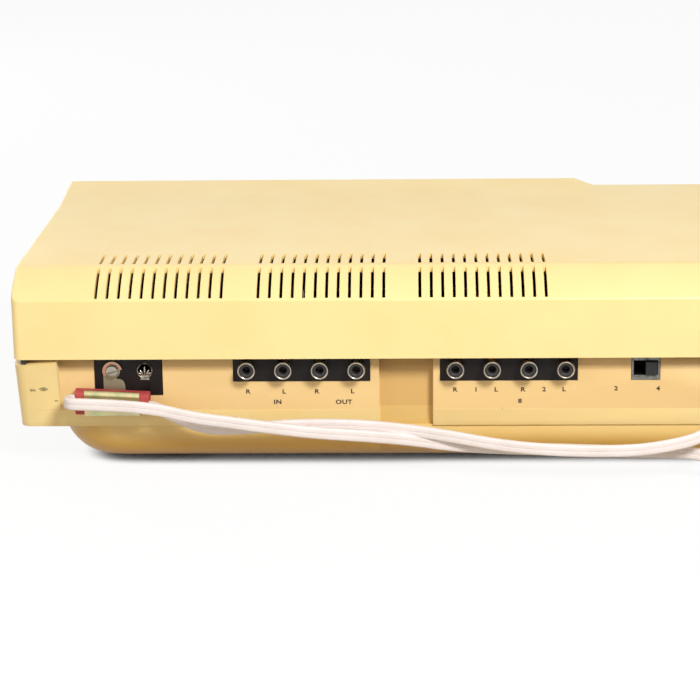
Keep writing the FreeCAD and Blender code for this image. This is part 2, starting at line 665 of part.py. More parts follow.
def make_top_shell():
    """Yellow upper shell: band, curved shoulder with vents, flat top, brow and front rim."""
    body = new_body()
    chord = math.hypot(shoulder_run.number, shoulder_rise.number)
    bow = Size(chord, f"sqrt({shoulder_run.formula}^2 + {shoulder_rise.formula}^2)")
    radius = bow / (2 * sine(shoulder_turn / 2))
    profile = sketch_on(body, "YZ")
    outline(profile, [
        (from_rear(0), shell_low),
        (from_rear(front_at(shell_low)), shell_low),
        (from_rear(top_depth), top),
        (from_rear(shoulder_run), top),
        (from_rear(0), ridge, -radius),
    ])
    pad(body, profile, case_width)

    brow = sketch_on(body, "YZ", -half_width)
    crest = top_depth - hood_rise * lean_tangent
    outline(brow, [
        (from_rear(top_depth - hood_depth), top),
        (from_rear(top_depth), top),
        (from_rear(crest), hood_top),
        (from_rear(crest - hood_rise), hood_top),
    ])
    pad(body, brow, case_width, "+")
    slope = sketch_on(body, "XZ", from_rear(top_depth + 1))
    outline(slope, [
        (hood_end, hood_top + 1),
        (hood_end, hood_top),
        (hood_end - hood_slope, top),
        (-half_width - 1, top),
        (-half_width - 1, hood_top + 1),
    ])
    pocket(body, slope, top_depth, "+")

    soften(body, shell_corner, lambda edge: runs_along(edge, "z") and edge.CenterOfMass.z > shell_low.number)
    soften(body, edge_round, lambda edge: is_outer_top_edge(edge))

    inside = sketch_on(body, "YZ")
    inner_front = wall / lean_cosine
    outline(inside, [
        (from_rear(wall), shell_low - 5),
        (from_rear(front_at(shell_low - 5) - inner_front), shell_low - 5),
        (from_rear(front_at(top - wall) - inner_front), top - wall),
        (from_rear(shoulder_run + wall / 6), top - wall),
        (from_rear(wall), ridge - wall / 2, wall - radius),
    ])
    pocket(body, inside, case_width - 2 * wall)

    opening = sketch_on(body, "YZ")
    outline(opening, front_strip(-1, wall + 1.4, rim_low, slope_long() - rim_high))
    pocket(body, opening, case_width - 2 * rim_side)

    for start in (vent_first, vent_second, vent_third):
        slots = sketch_on(body, "XY", hood_top)
        for near, far in ((vent_low_near, vent_low_far), (vent_high_near, vent_high_far)):
            rectangle(slots, (start - vent_slot, start), (from_rear(far), from_rear(near)))
        vent = pocket(body, slots, hood_top - ridge + vent_bite, "-")
        repeat_along(body, vent, "X", (vent_count - 1) * vent_pitch, vent_count)

    posts = sketch_on(body, "XY", base_top)
    for x, y in post_places():
        circle(posts, x, y, post_radius)
    pad(body, posts, top - wall - base_top, "+")
    holes = sketch_on(body, "XY", base_top)
    for x, y in post_places():
        circle(holes, x, y, screw_radius)
    pocket(body, holes, screw_bite, "+")
    return piece("top_shell", body)


def slope_long():
    return (top - wing_low) / lean_cosine


def post_places():
    side = half_width - post_side
    return [(x, from_rear(depth)) for x in (side, -side) for depth in (post_rear, post_front)]


def front_strip(outer, inner, low, high):
    """Corners of a slab that lies along the leaning front, in the YZ plane."""
    places = [(outer, low), (inner, low), (inner, high), (outer, high)]
    return [on_front(0, as_size(inward), as_size(up))[1:] for inward, up in places]


def is_outer_top_edge(edge):
    """The long upper edges of the shell at its sides, its ridge and its front."""
    middle = edge.CenterOfMass
    if edge.Length < 12 or middle.z < ridge.number - 0.01:
        return False
    at_side = abs(abs(middle.x) - half_width.number) < 0.6
    return at_side or (runs_along(edge, "x") and is_at(middle.z, ridge, 0.05))


def make_base_tray():
    """Yellow base: slanted rear wall with terminal panels, wing floor and hollow belly."""
    body = new_body()
    lean_in = base_wall_height * tangent(rear_slant)
    profile = sketch_on(body, "YZ")
    outline(profile, [
        (from_rear(lean_in), wing_low),
        (from_rear(front_foot), wing_low),
        (from_rear(front_at(base_top)), base_top),
        (from_rear(0), base_top),
    ])
    pad(body, profile, case_width)
    soften(body, base_corner, lambda edge: is_rear_corner(edge))

    belly = sketch_on(body, "XY", wing_low)
    side = half_width - belly_inset
    rounded_rectangle(belly, (-side, side), (from_rear(belly_front), from_rear(belly_rear)), belly_corner)
    pad(body, belly, belly_height, "-")
    soften(body, belly_round, lambda edge: is_at(edge.CenterOfMass.z, foot_height))

    inner_front = wall / lean_cosine
    tub = sketch_on(body, "YZ")
    outline(tub, [
        (from_rear(rear_block), wing_floor),
        (from_rear(front_at(wing_floor) - inner_front), wing_floor),
        (from_rear(front_at(base_top + 5) - inner_front), base_top + 5),
        (from_rear(rear_block), base_top + 5),
    ])
    pocket(body, tub, case_width - 2 * wall)
    well = sketch_on(body, "XY", wing_floor)
    rounded_rectangle(well, (wall - side, side - wall), (from_rear(belly_front - wall), from_rear(rear_block)),
                      belly_corner - wall)
    upright = wing_floor - foot_height - belly_round + 1
    pocket(body, well, upright, "-")
    floor = sketch_on(body, "XY", wing_floor - upright)
    rounded_rectangle(floor, (wall - side, side - wall), (from_rear(belly_front - wall), from_rear(rear_block)),
                      belly_corner - wall)
    sloped = pocket(body, floor, belly_height + wall - upright - wall, "-")
    sloped.TaperAngle = -45
    doc.recompute()

    opening = sketch_on(body, "YZ")
    outline(opening, front_strip(-1, wall + 1.4, rim_low, slope_long() - rim_high))
    pocket(body, opening, case_width - 2 * rim_side)

    panels = sketch_on(body, "XY", base_top)
    for left, right in ((panel_left, panel_middle), (panel_second, panel_right)):
        rectangle(panels, (right, left), (from_rear(panel_recess), from_rear(-1)))
    slant_end = panel_recess / tangent(rear_slant)
    pocket(body, panels, slant_end, "-")
    notch = sketch_on(body, "XY", base_top)
    rectangle(notch, (panel_second, panel_middle), (from_rear(notch_depth), from_rear(-1)))
    pocket(body, notch, base_wall_height, "-")

    seats = sketch_on(body, "XZ", from_rear(panel_recess))
    windows = sketch_on(body, "XZ", from_rear(panel_recess))
    for middle, width, drop, lap, lap_under in board_places():
        half = width / 2
        rectangle(seats, (middle - half - board_fit, middle + half + board_fit),
                  (base_top - drop - board_fit, base_top + 1))
        rectangle(windows, (middle - half + lap, middle + half - lap),
                  (base_top - drop + lap_under, base_top + 1))
    pocket(body, seats, board_thick, "-")
    pocket(body, windows, rear_block - panel_recess + 1, "-")

    posts = sketch_on(body, "XY", wing_floor)
    for x, y in post_places():
        circle(posts, x, y, post_radius)
    pad(body, posts, base_top - wing_floor, "+")
    holes = sketch_on(body, "XY", base_top)
    for x, y in post_places():
        circle(holes, x, y, screw_radius)
    pocket(body, holes, base_wall_height + 1, "-")

    thrust = sketch_on(body, "XY", foot_height + wall)
    circle(thrust, capstan_x, from_rear(capstan_deep), 3 * capstan_radius)
    pad(body, thrust, thrust_tall, "+")
    socket = sketch_on(body, "XY", foot_height + wall + thrust_tall)
    circle(socket, capstan_x, from_rear(capstan_deep), capstan_radius + running_gap)
    pocket(body, socket, thrust_tall - 1, "-")
    return piece("base_tray", body)


def board_places():
    """Middle, width and height of each seat, and its ledges at the sides and below."""
    return [
        (antenna_mid, antenna_width, antenna_drop, board_lap, board_lap),
        (inputs_mid, jack_board_width, board_drop, board_lap, board_lap),
        (speakers_mid, jack_board_width, board_drop, board_lap, board_lap),
        (switch_mid, switch_width, board_drop, Size(0, "(0)"), switch_lap),
    ]


def is_rear_corner(edge):
    """The two slanted upright edges at the base's rear corners."""
    box_of = edge.BoundBox
    at_rear = box_of.YMax > from_rear(0).number - 0.01
    return at_rear and box_of.XLength < 1e-4 and box_of.ZLength > 5


def make_feet():
    feet = []
    for x in (foot_x, -foot_x):
        for depth in (foot_rear, foot_front):
            feet.append(rod("z", (x, from_rear(depth), 0), foot_radius, foot_height))
    return piece("rubber_feet", fuse(feet))


def make_bumpers():
    """Strips that keep the shell's lower edge off the base."""
    outer = half_width - bumper_side
    strips = []
    for side in (1, -1):
        x = (side * outer, side * (outer - bumper_wide))
        strips.append(box(x, (from_rear(0.4), from_rear(bumper_long)), (base_top, shell_low)))
        x = (side * (half_width - 0.3), side * (half_width - wall))
        places = (from_rear(post_front), from_rear(post_front + 2 * bumper_long))
        strips.append(box(x, places, (base_top, shell_low)))
    return piece("gap_bumpers", fuse(strips))


def make_case_screws():
    """Pan head screws that hold the shell from under the wing."""
    screws = []
    for x, y in post_places():
        screws.append(rod("z", (x, y, wing_low - screw_head), 2 * screw_radius, screw_head))
        length = base_wall_height + screw_bite - 1
        screws.append(rod("z", (x, y, wing_low), screw_radius - 0.2, length))
    return piece("case_screws", fuse(screws))


def make_chassis():
    """Steel plate on the ledges of the wing, with its posts and pivots."""
    body = new_body()
    plate = sketch_on(body, "XY", wing_floor)
    rectangle(plate, (-chassis_half, chassis_half), (from_rear(chassis_front), from_rear(chassis_rear)))
    circle(plate, capstan_x, from_rear(capstan_deep), bearing_radius)
    circle(plate, motor_x, from_rear(motor_deep), pulley_radius * 2)
    pad(body, plate, sheet_thick, "+")
    for x, depth, radius, tall in post_list():
        post = sketch_on(body, "XY", chassis_top)
        circle(post, x, from_rear(depth), radius)
        pad(body, post, tall, "+")
    swing = sketch_on(body, "XY", wing_floor - 1)
    rectangle(swing, (bay_left, bay_right), (from_rear(chassis_front + 1), from_rear(bay_outer - door_clear)))
    pocket(body, swing, sheet_thick + 2, "+")
    return piece("main_chassis", body)


def post_list():
    """x, depth, radius and height of each post that stands on the chassis."""
    posts = [(x, depth, 3, board_post) for x in (board_low + 6, board_high - 6)
             for depth in (board_rear + 6, board_front - 6)]
    posts += [(head_x + side * carriage_pitch / 2, carriage_deep, capstan_radius, guide_post_tall)
              for side in (-1, 1)]
    posts.append((cam_x, cam_deep, cam_post, cam_post_tall))
    posts.append((arm_x, arm_deep, cam_post, arm_post_tall))
    return posts


# ---------------------------------------------------------------- rear terminals

board_face = panel_recess


def board_block(middle, width, drop):
    half = width / 2
    depths = (from_rear(board_face), from_rear(board_face + board_thick))
    return box((middle - half, middle + half), depths, (base_top - drop, base_top))


def make_antenna_board():
    board = board_block(antenna_mid, antenna_width, antenna_drop)
    start = from_rear(board_face + board_thick + 1)
    holes = [rod("y", (x, start, terminal_up), terminal_shank + 0.1, board_thick + 2)
             for x in (terminal_left, terminal_right)]
    return piece("antenna_board", cut(board, holes))


def make_antenna_screws():
    """Two slotted screws: one holds the coupler's lug, the other a cup washer."""
    screws = []
    for x, under, head in ((terminal_left, lug_thick, terminal_head),
                           (terminal_right, lug_thick, terminal_head * 1.1)):
        depth = board_face - under
        shank = rod("y", (x, from_rear(board_face + 6), terminal_up), terminal_shank, 6 + under)
        crown = rod("y", (x, from_rear(depth), terminal_up), head, 2.4)
        angle = 22 if x is terminal_left else 90
        slot = box((-4, 4), (0, 1.2), (-0.4, 0.4))
        slot.Placement = Placement(Vector(), Rotation(Vector(0, 1, 0), -angle))
        turn = math.radians(angle)
        half_x = 4 * math.cos(turn) - 0.4 * math.sin(turn)
        half_z = 4 * math.sin(turn) + 0.4 * math.cos(turn)
        move(slot, x - half_x, from_rear(depth - 2.4 + 1), terminal_up - half_z)
        screws.append(cut(fuse([shank, crown]), [slot]))
    washer = rod("y", (terminal_right, from_rear(board_face), terminal_up), terminal_head * 1.25, lug_thick)
    hole = rod("y", (terminal_right, from_rear(board_face + 1), terminal_up), terminal_shank, 4)
    screws.append(cut(washer, [hole]))
    return piece("antenna_screws", fuse(screws))


def rounded_bar(body, x, deep, tall, radius):
    """A bar along x with rounded long edges, centred on the coupler's axis."""
    section = sketch_on(body, "YZ", x[0])
    middle = from_rear(sleeve_back - sleeve_deep / 2)
    y = (middle - deep / 2, middle + deep / 2)
    z = (sleeve_up - tall / 2, sleeve_up + tall / 2)
    rounded_rectangle(section, y, z, radius)
    return section, x[1] - x[0]


def make_coupler_sleeve():
    """Bent metal sleeve round the line cord, with the tab and lug that hang it up."""
    body = new_body()
    ends = (sleeve_mid - sleeve_long / 2, sleeve_mid + sleeve_long / 2)
    pad(body, *rounded_bar(body, ends, sleeve_deep, sleeve_tall, sleeve_round), "+")
    inner = (ends[0] - 1, ends[1] + 1)
    liner = (sleeve_deep - 2 * liner_wall, sleeve_tall - 2 * liner_wall, sleeve_round - liner_wall)
    pocket(body, *rounded_bar(body, inner, *liner), "+")
    lug = sketch_on(body, "XZ", from_rear(sleeve_back))
    tab = terminal_head * 1.3
    outline(lug, [
        (terminal_left - tab, sleeve_up),
        (terminal_left + tab, sleeve_up),
        (terminal_left + tab, terminal_up),
        (terminal_left - tab, terminal_up, tab * 1.001),
    ])
    circle(lug, terminal_left, terminal_up, terminal_shank + 0.1)
    pad(body, lug, lug_thick, "-")
    return piece("coupler_sleeve", body)


def make_coupler_liner():
    body = new_body()
    ends = (sleeve_mid - liner_long / 2, sleeve_mid + liner_long / 2)
    size = (sleeve_deep - 2 * liner_wall, sleeve_tall - 2 * liner_wall, sleeve_round - liner_wall)
    pad(body, *rounded_bar(body, ends, *size), "+")
    bore = sketch_on(body, "YZ", ends[0] - 1)
    circle(bore, from_rear(sleeve_back - sleeve_deep / 2), sleeve_up, cord_width / 2 + 0.2)
    pocket(body, bore, liner_long + 2, "+")
    return piece("coupler_liner", body)


def jack_places():
    return [middle + (place - 1.5) * jack_pitch
            for middle in (inputs_mid, speakers_mid) for place in range(4)]


def make_jack_boards():
    height = base_top - jack_below
    start = from_rear(board_face + board_thick + 1)
    holes = [rod("y", (x, start, height), jack_stub, board_thick + 2) for x in jack_places()]
    boards = [board_block(middle, jack_board_width, board_drop) for middle in (inputs_mid, speakers_mid)]
    return piece("jack_boards", cut(fuse(boards), holes))


def make_phono_jacks():
    """Eight phono sockets: shell outside the board, stub through it, hole for the pin."""
    height = base_top - jack_below
    jacks = []
    for x in jack_places():
        shell = rod("y", (x, from_rear(board_face), height), jack_radius, jack_reach)
        stub = rod("y", (x, from_rear(board_face + board_thick + 4), height), jack_stub, board_thick + 4)
        hole = rod("y", (x, from_rear(board_face), height), jack_hole, jack_reach + 1)
        jacks.append(cut(fuse([shell, stub]), [hole]))
    return piece("phono_jacks", fuse(jacks))


switch_up = base_top - board_drop / 2
switch_half = switch_width / 2


def make_switch_plate():
    plate = board_block(switch_mid, switch_width, board_drop)
    slot_half = (actuator_wide + switch_travel) / 2 + slide_gap
    tall = actuator_tall / 2 + slide_gap
    slot = box((switch_mid - slot_half, switch_mid + slot_half),
               (from_rear(board_face - 1), from_rear(board_face + board_thick + 1)),
               (switch_up - tall, switch_up + tall))
    return piece("speaker_switch_plate", cut(plate, [slot]))


def make_switch_body():
    """Open fronted body behind the plate, in which the actuator slides."""
    front = board_face + board_thick
    half = switch_half - board_fit
    z = (base_top - board_drop + switch_lap + board_fit, base_top - board_fit)
    outer = box((switch_mid - half, switch_mid + half), (from_rear(front), from_rear(front + switch_deep)), z)
    slot_half = (actuator_wide + switch_travel) / 2 + slide_gap
    tall = actuator_tall / 2 + slide_gap
    inner = box((switch_mid - slot_half, switch_mid + slot_half),
                (from_rear(front - 1), from_rear(front + switch_deep - 1.5)),
                (switch_up - tall, switch_up + tall))
    return piece("speaker_switch_body", cut(outer, [inner]))


def make_switch_slider():
    start = switch_mid - (actuator_wide + switch_travel) / 2
    depths = (from_rear(board_face - 1.4), from_rear(board_face + board_thick + switch_deep - 2))
    half = actuator_tall / 2
    block = box((start, start + actuator_wide), depths, (switch_up - half, switch_up + half))
    return piece("speaker_switch_slider", block)


# ---------------------------------------------------------------- fascia

bezel_back = wall + bezel_flange
channel_back = bezel_back + channel_deep
long_slope = slope_long()
rim_half = half_width - rim_side
door_half = door_width / 2


def make_bezel():
    """Fascia plate with its flange behind the yellow rim and every opening of the front."""
    body = new_body()
    plate = sketch_on(body, "XZ", bezel_sunk)
    side = rim_half - bezel_fit
    rectangle(plate, (-side, side), (rim_low + bezel_fit, long_slope - rim_high - bezel_fit))
    pad(body, plate, bezel_back - bezel_sunk, "+")
    flange = sketch_on(body, "XZ", wall)
    side = rim_half + 3
    rectangle(flange, (-side, side), (rim_low - 0.8, long_slope - rim_high + 2.6))
    pad(body, flange, bezel_flange, "+")
    bush = sketch_on(body, "XZ", bezel_back)
    circle(bush, tuning_mid, row_height, 2 * shaft_radius)
    pad(body, bush, bush_long, "+")
    for x in lug_places():
        lug = sketch_on(body, "YZ", x)
        rectangle(lug, (bezel_back, pin_in + 2.4), (pin_up - 2.4, pin_up + 2.4))
        pad(body, lug, lug_wide)

    openings = sketch_on(body, "XZ", bezel_sunk)
    rectangle(openings, (dial_left, dial_right), (dial_low, dial_high))
    gap = door_gap
    rectangle(openings, (door_mid - door_half - gap, door_mid + door_half + gap),
              (mouth_low, door_high + gap))
    for middle, half in ((program_mid, program_half), (power_mid, power_half)):
        rectangle(openings, (middle - half - gap, middle + half + gap),
                  (button_up - button_half - gap, button_up + button_half + gap))
    circle(openings, volume_mid, volume_up, shaft_radius + gap)
    circle(openings, selector_mid, row_height, shaft_radius + gap)
    for number in range(3):
        circle(openings, bass_mid + number * tone_pitch, row_height, shaft_radius + gap)
    for x in lamp_places():
        circle(openings, x, lamp_up, lamp_radius + 0.1)
    circle(openings, phones_mid, volume_up, phones_barrel + 0.1)
    pocket(body, openings, bezel_back + 1, "+")
    seat = sketch_on(body, "XZ", bezel_back)
    lap = pane_lap + 0.1
    rectangle(seat, (dial_left - lap, dial_right + lap), (dial_low - lap, dial_high + lap))
    pocket(body, seat, pane_thick + 0.1, "-")
    bores = sketch_on(body, "XZ", bezel_sunk - 1)
    circle(bores, tuning_mid, row_height, shaft_radius + shaft_fit)
    pocket(body, bores, bezel_back + bush_long + 2, "+")
    hinge = sketch_on(body, "YZ", door_mid - door_half - 10)
    circle(hinge, pin_in, pin_up, pin_radius + pin_fit)
    pocket(body, hinge, door_width + 20, "+")
    return piece("front_bezel", lean(body))


def lug_places():
    reach = door_half + lug_side
    return [door_mid - reach, door_mid + reach]


def lamp_places():
    return [program_mid + (place - 1.5) * lamp_pitch for place in range(4)]


def wrap(solid):
    """Hold a solid in a compound, so that it keeps its own place when it is leant."""
    holder = doc.addObject("Part::Compound", "Holder")
    holder.Links = [solid]
    return holder


def make_dial_window():
    pane = box((dial_left - pane_lap, dial_right + pane_lap), (bezel_back - pane_thick, bezel_back),
               (dial_low - pane_lap, dial_high + pane_lap))
    return piece("dial_window", lean(wrap(pane)))


def make_dial_channel():
    """Light channel behind the dial: its back carries the scale, its upper flange the pointer."""
    lap = channel_lap
    x = (dial_left - 2 * lap, dial_right + 2 * lap)
    up = (dial_low - lap, dial_high + lap + channel_wall)
    tray = box(x, (bezel_back, channel_back), up)
    hollow = box((x[0] + channel_wall, x[1] - channel_wall), (bezel_back - 1, channel_back - channel_wall),
                 (up[0] + channel_wall, up[1] - channel_wall))
    middle = (bezel_back + channel_back) / 2
    slot = box((dial_left + 2, dial_right - 2), (middle - guide_slot / 2, middle + guide_slot / 2),
               (up[1] - channel_wall - 1, up[1] + 1))
    return piece("dial_scale_plate", lean(cut(tray, [hollow, slot])))


def make_pointer():
    """Dial pointer: blade, neck through the guide slot, and a shoe on the flange."""
    flange = dial_high + channel_lap
    middle = (bezel_back + channel_back) / 2
    x = pointer_rest
    blade = box((x - 0.5, x + 0.5), (middle - 2, middle - 1.2), (dial_low + 1, flange - slide_gap))
    block = box((x - 4, x + 4), (middle - 2, middle + 2), (flange - slide_gap - 1.6, flange - slide_gap))
    neck_half = guide_slot / 2 - slide_gap
    above = flange + channel_wall + slide_gap
    neck = box((x - 3, x + 3), (middle - neck_half, middle + neck_half), (flange - slide_gap - 1, above + 1))
    shoe = box((x - 5, x + 5), (middle - 2.4, middle + 2.4), (above, above + 1.8))
    return piece("dial_pointer", lean(fuse([blade, block, neck, shoe])))


def make_dial_lamps():
    """Festoon lamps in clips on the back of the light channel."""
    lamps = []
    half = lamp_long / 2
    clip = dial_lamp_radius + 0.4
    for x in (dial_left + lamp_inset, pointer_rest, dial_right - lamp_inset):
        up = (dial_low + dial_high) / 2
        axis = channel_back + clip + lamp_clip
        lamps.append(rod("x", (x - half, axis, up), dial_lamp_radius, lamp_long))
        for side in (-1, 1):
            ends = (x + side * half, x + side * (half + lamp_clip))
            lamps.append(box(ends, (channel_back, axis + clip), (up - clip, up + clip)))
    return piece("dial_lamps", lean(fuse(lamps)))


def make_door():
    """Flap over the cartridge bay, with its two arms round the hinge pin."""
    face = bezel_sunk
    plate = box((door_mid - door_half, door_mid + door_half), (face, face + door_thick), (door_low, door_high))
    solids = [plate]
    for side in (-1, 1):
        ends = (door_mid + side * door_half, door_mid + side * (door_half - arm_wide))
        root = (face + door_thick, pin_in)
        solids.append(box(ends, root, (door_high - 7, door_high)))
        solids.append(box(ends, (bezel_back + 0.4, root[1]), (door_high - 1, pin_up)))
        solids.append(rod("x", (door_mid + side * door_half - (arm_wide if side > 0 else 0), pin_in, pin_up),
                          pin_radius + 1, arm_wide))
    start = door_mid - door_half - 1
    bore = rod("x", (start, pin_in, pin_up), pin_radius + pin_fit, door_width + 2)
    return piece("cartridge_door", lean(cut(fuse(solids), [bore])))


def make_hinge_pin():
    reach = door_half + lug_side + lug_wide / 2
    pin = rod("x", (door_mid - reach, pin_in, pin_up), pin_radius, 2 * reach)
    return piece("door_hinge_pin", lean(wrap(pin)))


# ---------------------------------------------------------------- knobs and buttons

def make_knob(name, x, up, radius, tall, shaft_long, flutes):
    """Fluted knob with a skirt; a positive shaft length leaves the shaft in one piece with it."""
    body = new_body()
    skirt = radius * 0.12
    profile = sketch_on(body, "YZ")
    grip = radius - skirt
    crown = knob_base - tall
    outline(profile, [
        (knob_base, 0), (crown, 0), (crown, grip - 1), (crown + 1, grip),
        (knob_base - 3, grip), (knob_base - 3, radius), (knob_base, radius),
    ])
    revolve(body, profile, "Y")
    flute = sketch_on(body, "XZ", crown - 1)
    deep = radius * 0.09
    outline(flute, [(-deep, grip + 0.5), (0, grip - deep), (deep, grip + 0.5)])
    groove = pocket(body, flute, tall - 2, "+")
    repeat_round(body, groove, "Y", flutes)
    shaft = sketch_on(body, "XZ", knob_base)
    if shaft_long:
        circle(shaft, 0, 0, shaft_radius)
        pad(body, shaft, shaft_long, "+")
    else:
        circle(shaft, 0, 0, shaft_radius + 0.02)
        pocket(body, shaft, knob_bore, "-")
    return piece(name, lean(body, x, 0, up))


def make_knobs():
    make_knob("tuning_knob", tuning_mid, row_height, big_knob, big_knob_tall, 0, 20)
    make_knob("volume_knob", volume_mid, volume_up, big_knob, big_knob_tall, pot_shaft, 20)
    make_knob("selector_knob", selector_mid, row_height, selector_radius, big_knob_tall, pot_shaft, 16)
    for number, name in enumerate(("bass_knob", "treble_knob", "balance_knob")):
        x = bass_mid + number * tone_pitch
        make_knob(name, x, row_height, small_knob, small_knob_tall, pot_shaft, 12)


def make_tuning_shaft():
    start = knob_base - knob_bore + 0.3
    shaft = rod("y", (0, start, 0), shaft_radius, tuning_long - start)
    collar = rod("y", (0, bezel_back + bush_long + 0.3, 0), shaft_radius + 1.5, 2)
    spindle = rod("y", (0, tuning_long - 6, 0), shaft_radius + 1.5, 6)
    return piece("tuning_shaft", lean(fuse([shaft, collar, spindle]), tuning_mid, 0, row_height))


def make_button(name, x, half):
    """A push button with its flange behind the fascia and its stem."""
    cap = box((x - half, x + half), (bezel_sunk - 4, bezel_back + 0.5),
              (button_up - button_half, button_up + button_half))
    stop = box((x - half - 1.2, x + half + 1.2), (bezel_back + slide_gap, bezel_back + slide_gap + 1.2),
               (button_up - button_half - 1, button_up + button_half + 1))
    stem = rod("y", (x, bezel_back + 1, button_up), 2, 6)
    return piece(name, lean(fuse([cap, stop, stem])))


def make_button_switches():
    """Bodies of the two push switches, each on two legs behind the fascia."""
    solids = []
    deep = switch_block
    tall = (button_up - button_half - 0.5, button_up + button_half + 0.5)
    for x, half in ((program_mid, program_half), (power_mid, power_half)):
        start = bezel_back + slide_gap + 1.2 + button_travel + slide_gap
        block = box((x - power_half, x + power_half), (start, start + deep), tall)
        hole = rod("y", (x, start - 1, button_up), 2 + slide_gap, deep)
        solids.append(cut(block, [hole]))
        for side in (-1, 1):
            inner = x + side * (half + 1.8)
            outer = inner + side * switch_leg
            solids.append(box((inner, outer), (bezel_back, start + deep), tall))
            solids.append(box((x + side * (power_half - 0.5), outer),
                              (start + deep - switch_leg, start + deep), tall))
    return piece("button_switches", lean(fuse(solids)))


def make_program_lamps():
    lamps = []
    for x in lamp_places():
        lamps.append(rod("y", (x, bezel_sunk - 0.6, lamp_up), lamp_radius, bezel_back - bezel_sunk + 5))
        lamps.append(rod("y", (x, bezel_back, lamp_up), lamp_radius + 0.8, 1.2))
    return piece("program_lamps", lean(fuse(lamps)))


def make_headphone_jack():
    """Headphone socket: barrel and nut in the fascia, body behind it."""
    place = (phones_mid, bezel_sunk - 1.6, volume_up)
    barrel = rod("y", place, phones_barrel, bezel_back - bezel_sunk + 2)
    nut = rod("y", place, phones_barrel + 1.6, 1.6)
    block = box((phones_mid - 6.4, phones_mid + 6.4), (bezel_back, phones_long),
                (volume_up - 6.4, volume_up + 6.4))
    bore = rod("y", (phones_mid, bezel_sunk - 2.6, volume_up), phones_radius, phones_long)
    return piece("headphone_jack", lean(cut(fuse([barrel, nut, block]), [bore])))


def make_control_pots():
    """Bodies of the volume, tone and balance controls and of the selector switch."""
    places = [(volume_mid, volume_up, 12, 12), (selector_mid, row_height, 9, 12)]
    places += [(bass_mid + number * tone_pitch, row_height, 8.5, 10) for number in range(3)]
    solids = []
    for x, up, radius, deep in places:
        bush = rod("y", (x, bezel_back, up), shaft_radius + 1.6, 4)
        can = rod("y", (x, bezel_back + 3, up), radius, deep)
        bore = rod("y", (x, bezel_back - 1, up), shaft_radius + shaft_fit, pot_shaft)
        solids.append(cut(fuse([bush, can]), [bore]))
    return piece("control_pots", lean(fuse(solids)))


# ---------------------------------------------------------------- tape deck

def make_cartridge_guide():
    """Folded sheet tunnel for the cartridge, with a window for the roller."""
    body = new_body()
    low = bay_floor - sheet_thick
    high = bay_floor + bay_height
    outer_low = chassis_top
    section = sketch_on(body, "XZ", from_rear(bay_outer))
    left, right = bay_left - sheet_thick, bay_right + sheet_thick
    outline(section, [
        (left, outer_low), (bay_left, outer_low), (bay_left, low), (bay_right, low),
        (bay_right, outer_low), (right, outer_low), (right, high + sheet_thick),
        (left, high + sheet_thick),
    ])
    rectangle(section, (bay_left, bay_right), (bay_floor, high))
    pad(body, section, bay_outer - bay_inner, "+")
    clear = sketch_on(body, "XY", high - 1)
    rectangle(clear, (left - 1, right + 1), (from_rear(bay_outer + 1), from_rear(bay_outer - door_clear)))
    pocket(body, clear, sheet_thick + 3, "+")
    swing = sketch_on(body, "XY", low - 1)
    rectangle(swing, (bay_left, bay_right), (from_rear(bay_outer + 1), from_rear(bay_outer - door_clear)))
    pocket(body, swing, sheet_thick + 1, "+")
    window = sketch_on(body, "YZ", left - 1)
    rectangle(window, (from_rear(roller_deep + roller_radius + 2), from_rear(roller_deep - roller_radius - 2)),
              (bay_floor + 4, bay_floor + 18))
    pocket(body, window, sheet_thick + 2, "+")
    return piece("cartridge_guide", body)


def make_capstan_shaft():
    low = foot_height + wall + 1 + 0.3
    shaft = rod("z", (capstan_x, from_rear(capstan_deep), low), capstan_radius, capstan_top - low)
    return piece("capstan_shaft", shaft)


def make_flywheel():
    """Cast flywheel with a thinned web and a hub pressed onto the capstan."""
    body = new_body()
    profile = sketch_on(body, "XZ")
    hub = 3 * capstan_radius
    rim = flywheel_radius - 7
    web = flywheel_thick / 2
    outline(profile, [
        (capstan_radius, 0), (flywheel_radius, 0), (flywheel_radius, flywheel_thick),
        (rim, flywheel_thick), (rim, web), (hub + 2, web), (hub + 2, flywheel_thick),
        (capstan_radius, flywheel_thick),
    ])
    revolve(body, profile, "Z")
    return piece("flywheel", move(body, capstan_x, from_rear(capstan_deep), flywheel_low))


def make_capstan_bearing():
    place = (capstan_x, from_rear(capstan_deep), wing_floor - 1.5)
    bush = rod("z", place, bearing_radius, 8)
    flange = rod("z", (place[0], place[1], chassis_top), bearing_radius + 2, 1.2)
    bore = rod("z", (place[0], place[1], place[2] - 1), capstan_radius + running_gap, 12)
    return piece("capstan_bearing", cut(fuse([bush, flange]), [bore]))


def make_motor():
    place = (motor_x, from_rear(motor_deep))
    can = rod("z", (*place, chassis_top), motor_radius, motor_tall)
    boss = rod("z", (*place, wing_floor - 0.6), 4.5, sheet_thick + 1)
    bore = rod("z", (*place, wing_floor - 2), 1 + running_gap, 16)
    return piece("drive_motor", cut(fuse([can, boss]), [bore]))


belt_low = flywheel_low + (flywheel_thick - belt_wide) / 2


def make_motor_pulley():
    """Grooved pulley on the motor's thin shaft."""
    body = new_body()
    profile = sketch_on(body, "XZ")
    low = belt_low - 0.4
    high = belt_low + belt_wide + 0.4
    edge = pulley_radius + 1.2
    outline(profile, [
        (0, flywheel_low), (edge, flywheel_low), (edge, low - 0.4), (pulley_radius, low),
        (pulley_radius, high), (edge, high + 0.4), (edge, high + 1.4), (1, high + 1.4),
        (1, chassis_top + 10), (0, chassis_top + 10),
    ])
    revolve(body, profile, "Z")
    return piece("motor_pulley", move(body, motor_x, from_rear(motor_deep), 0))


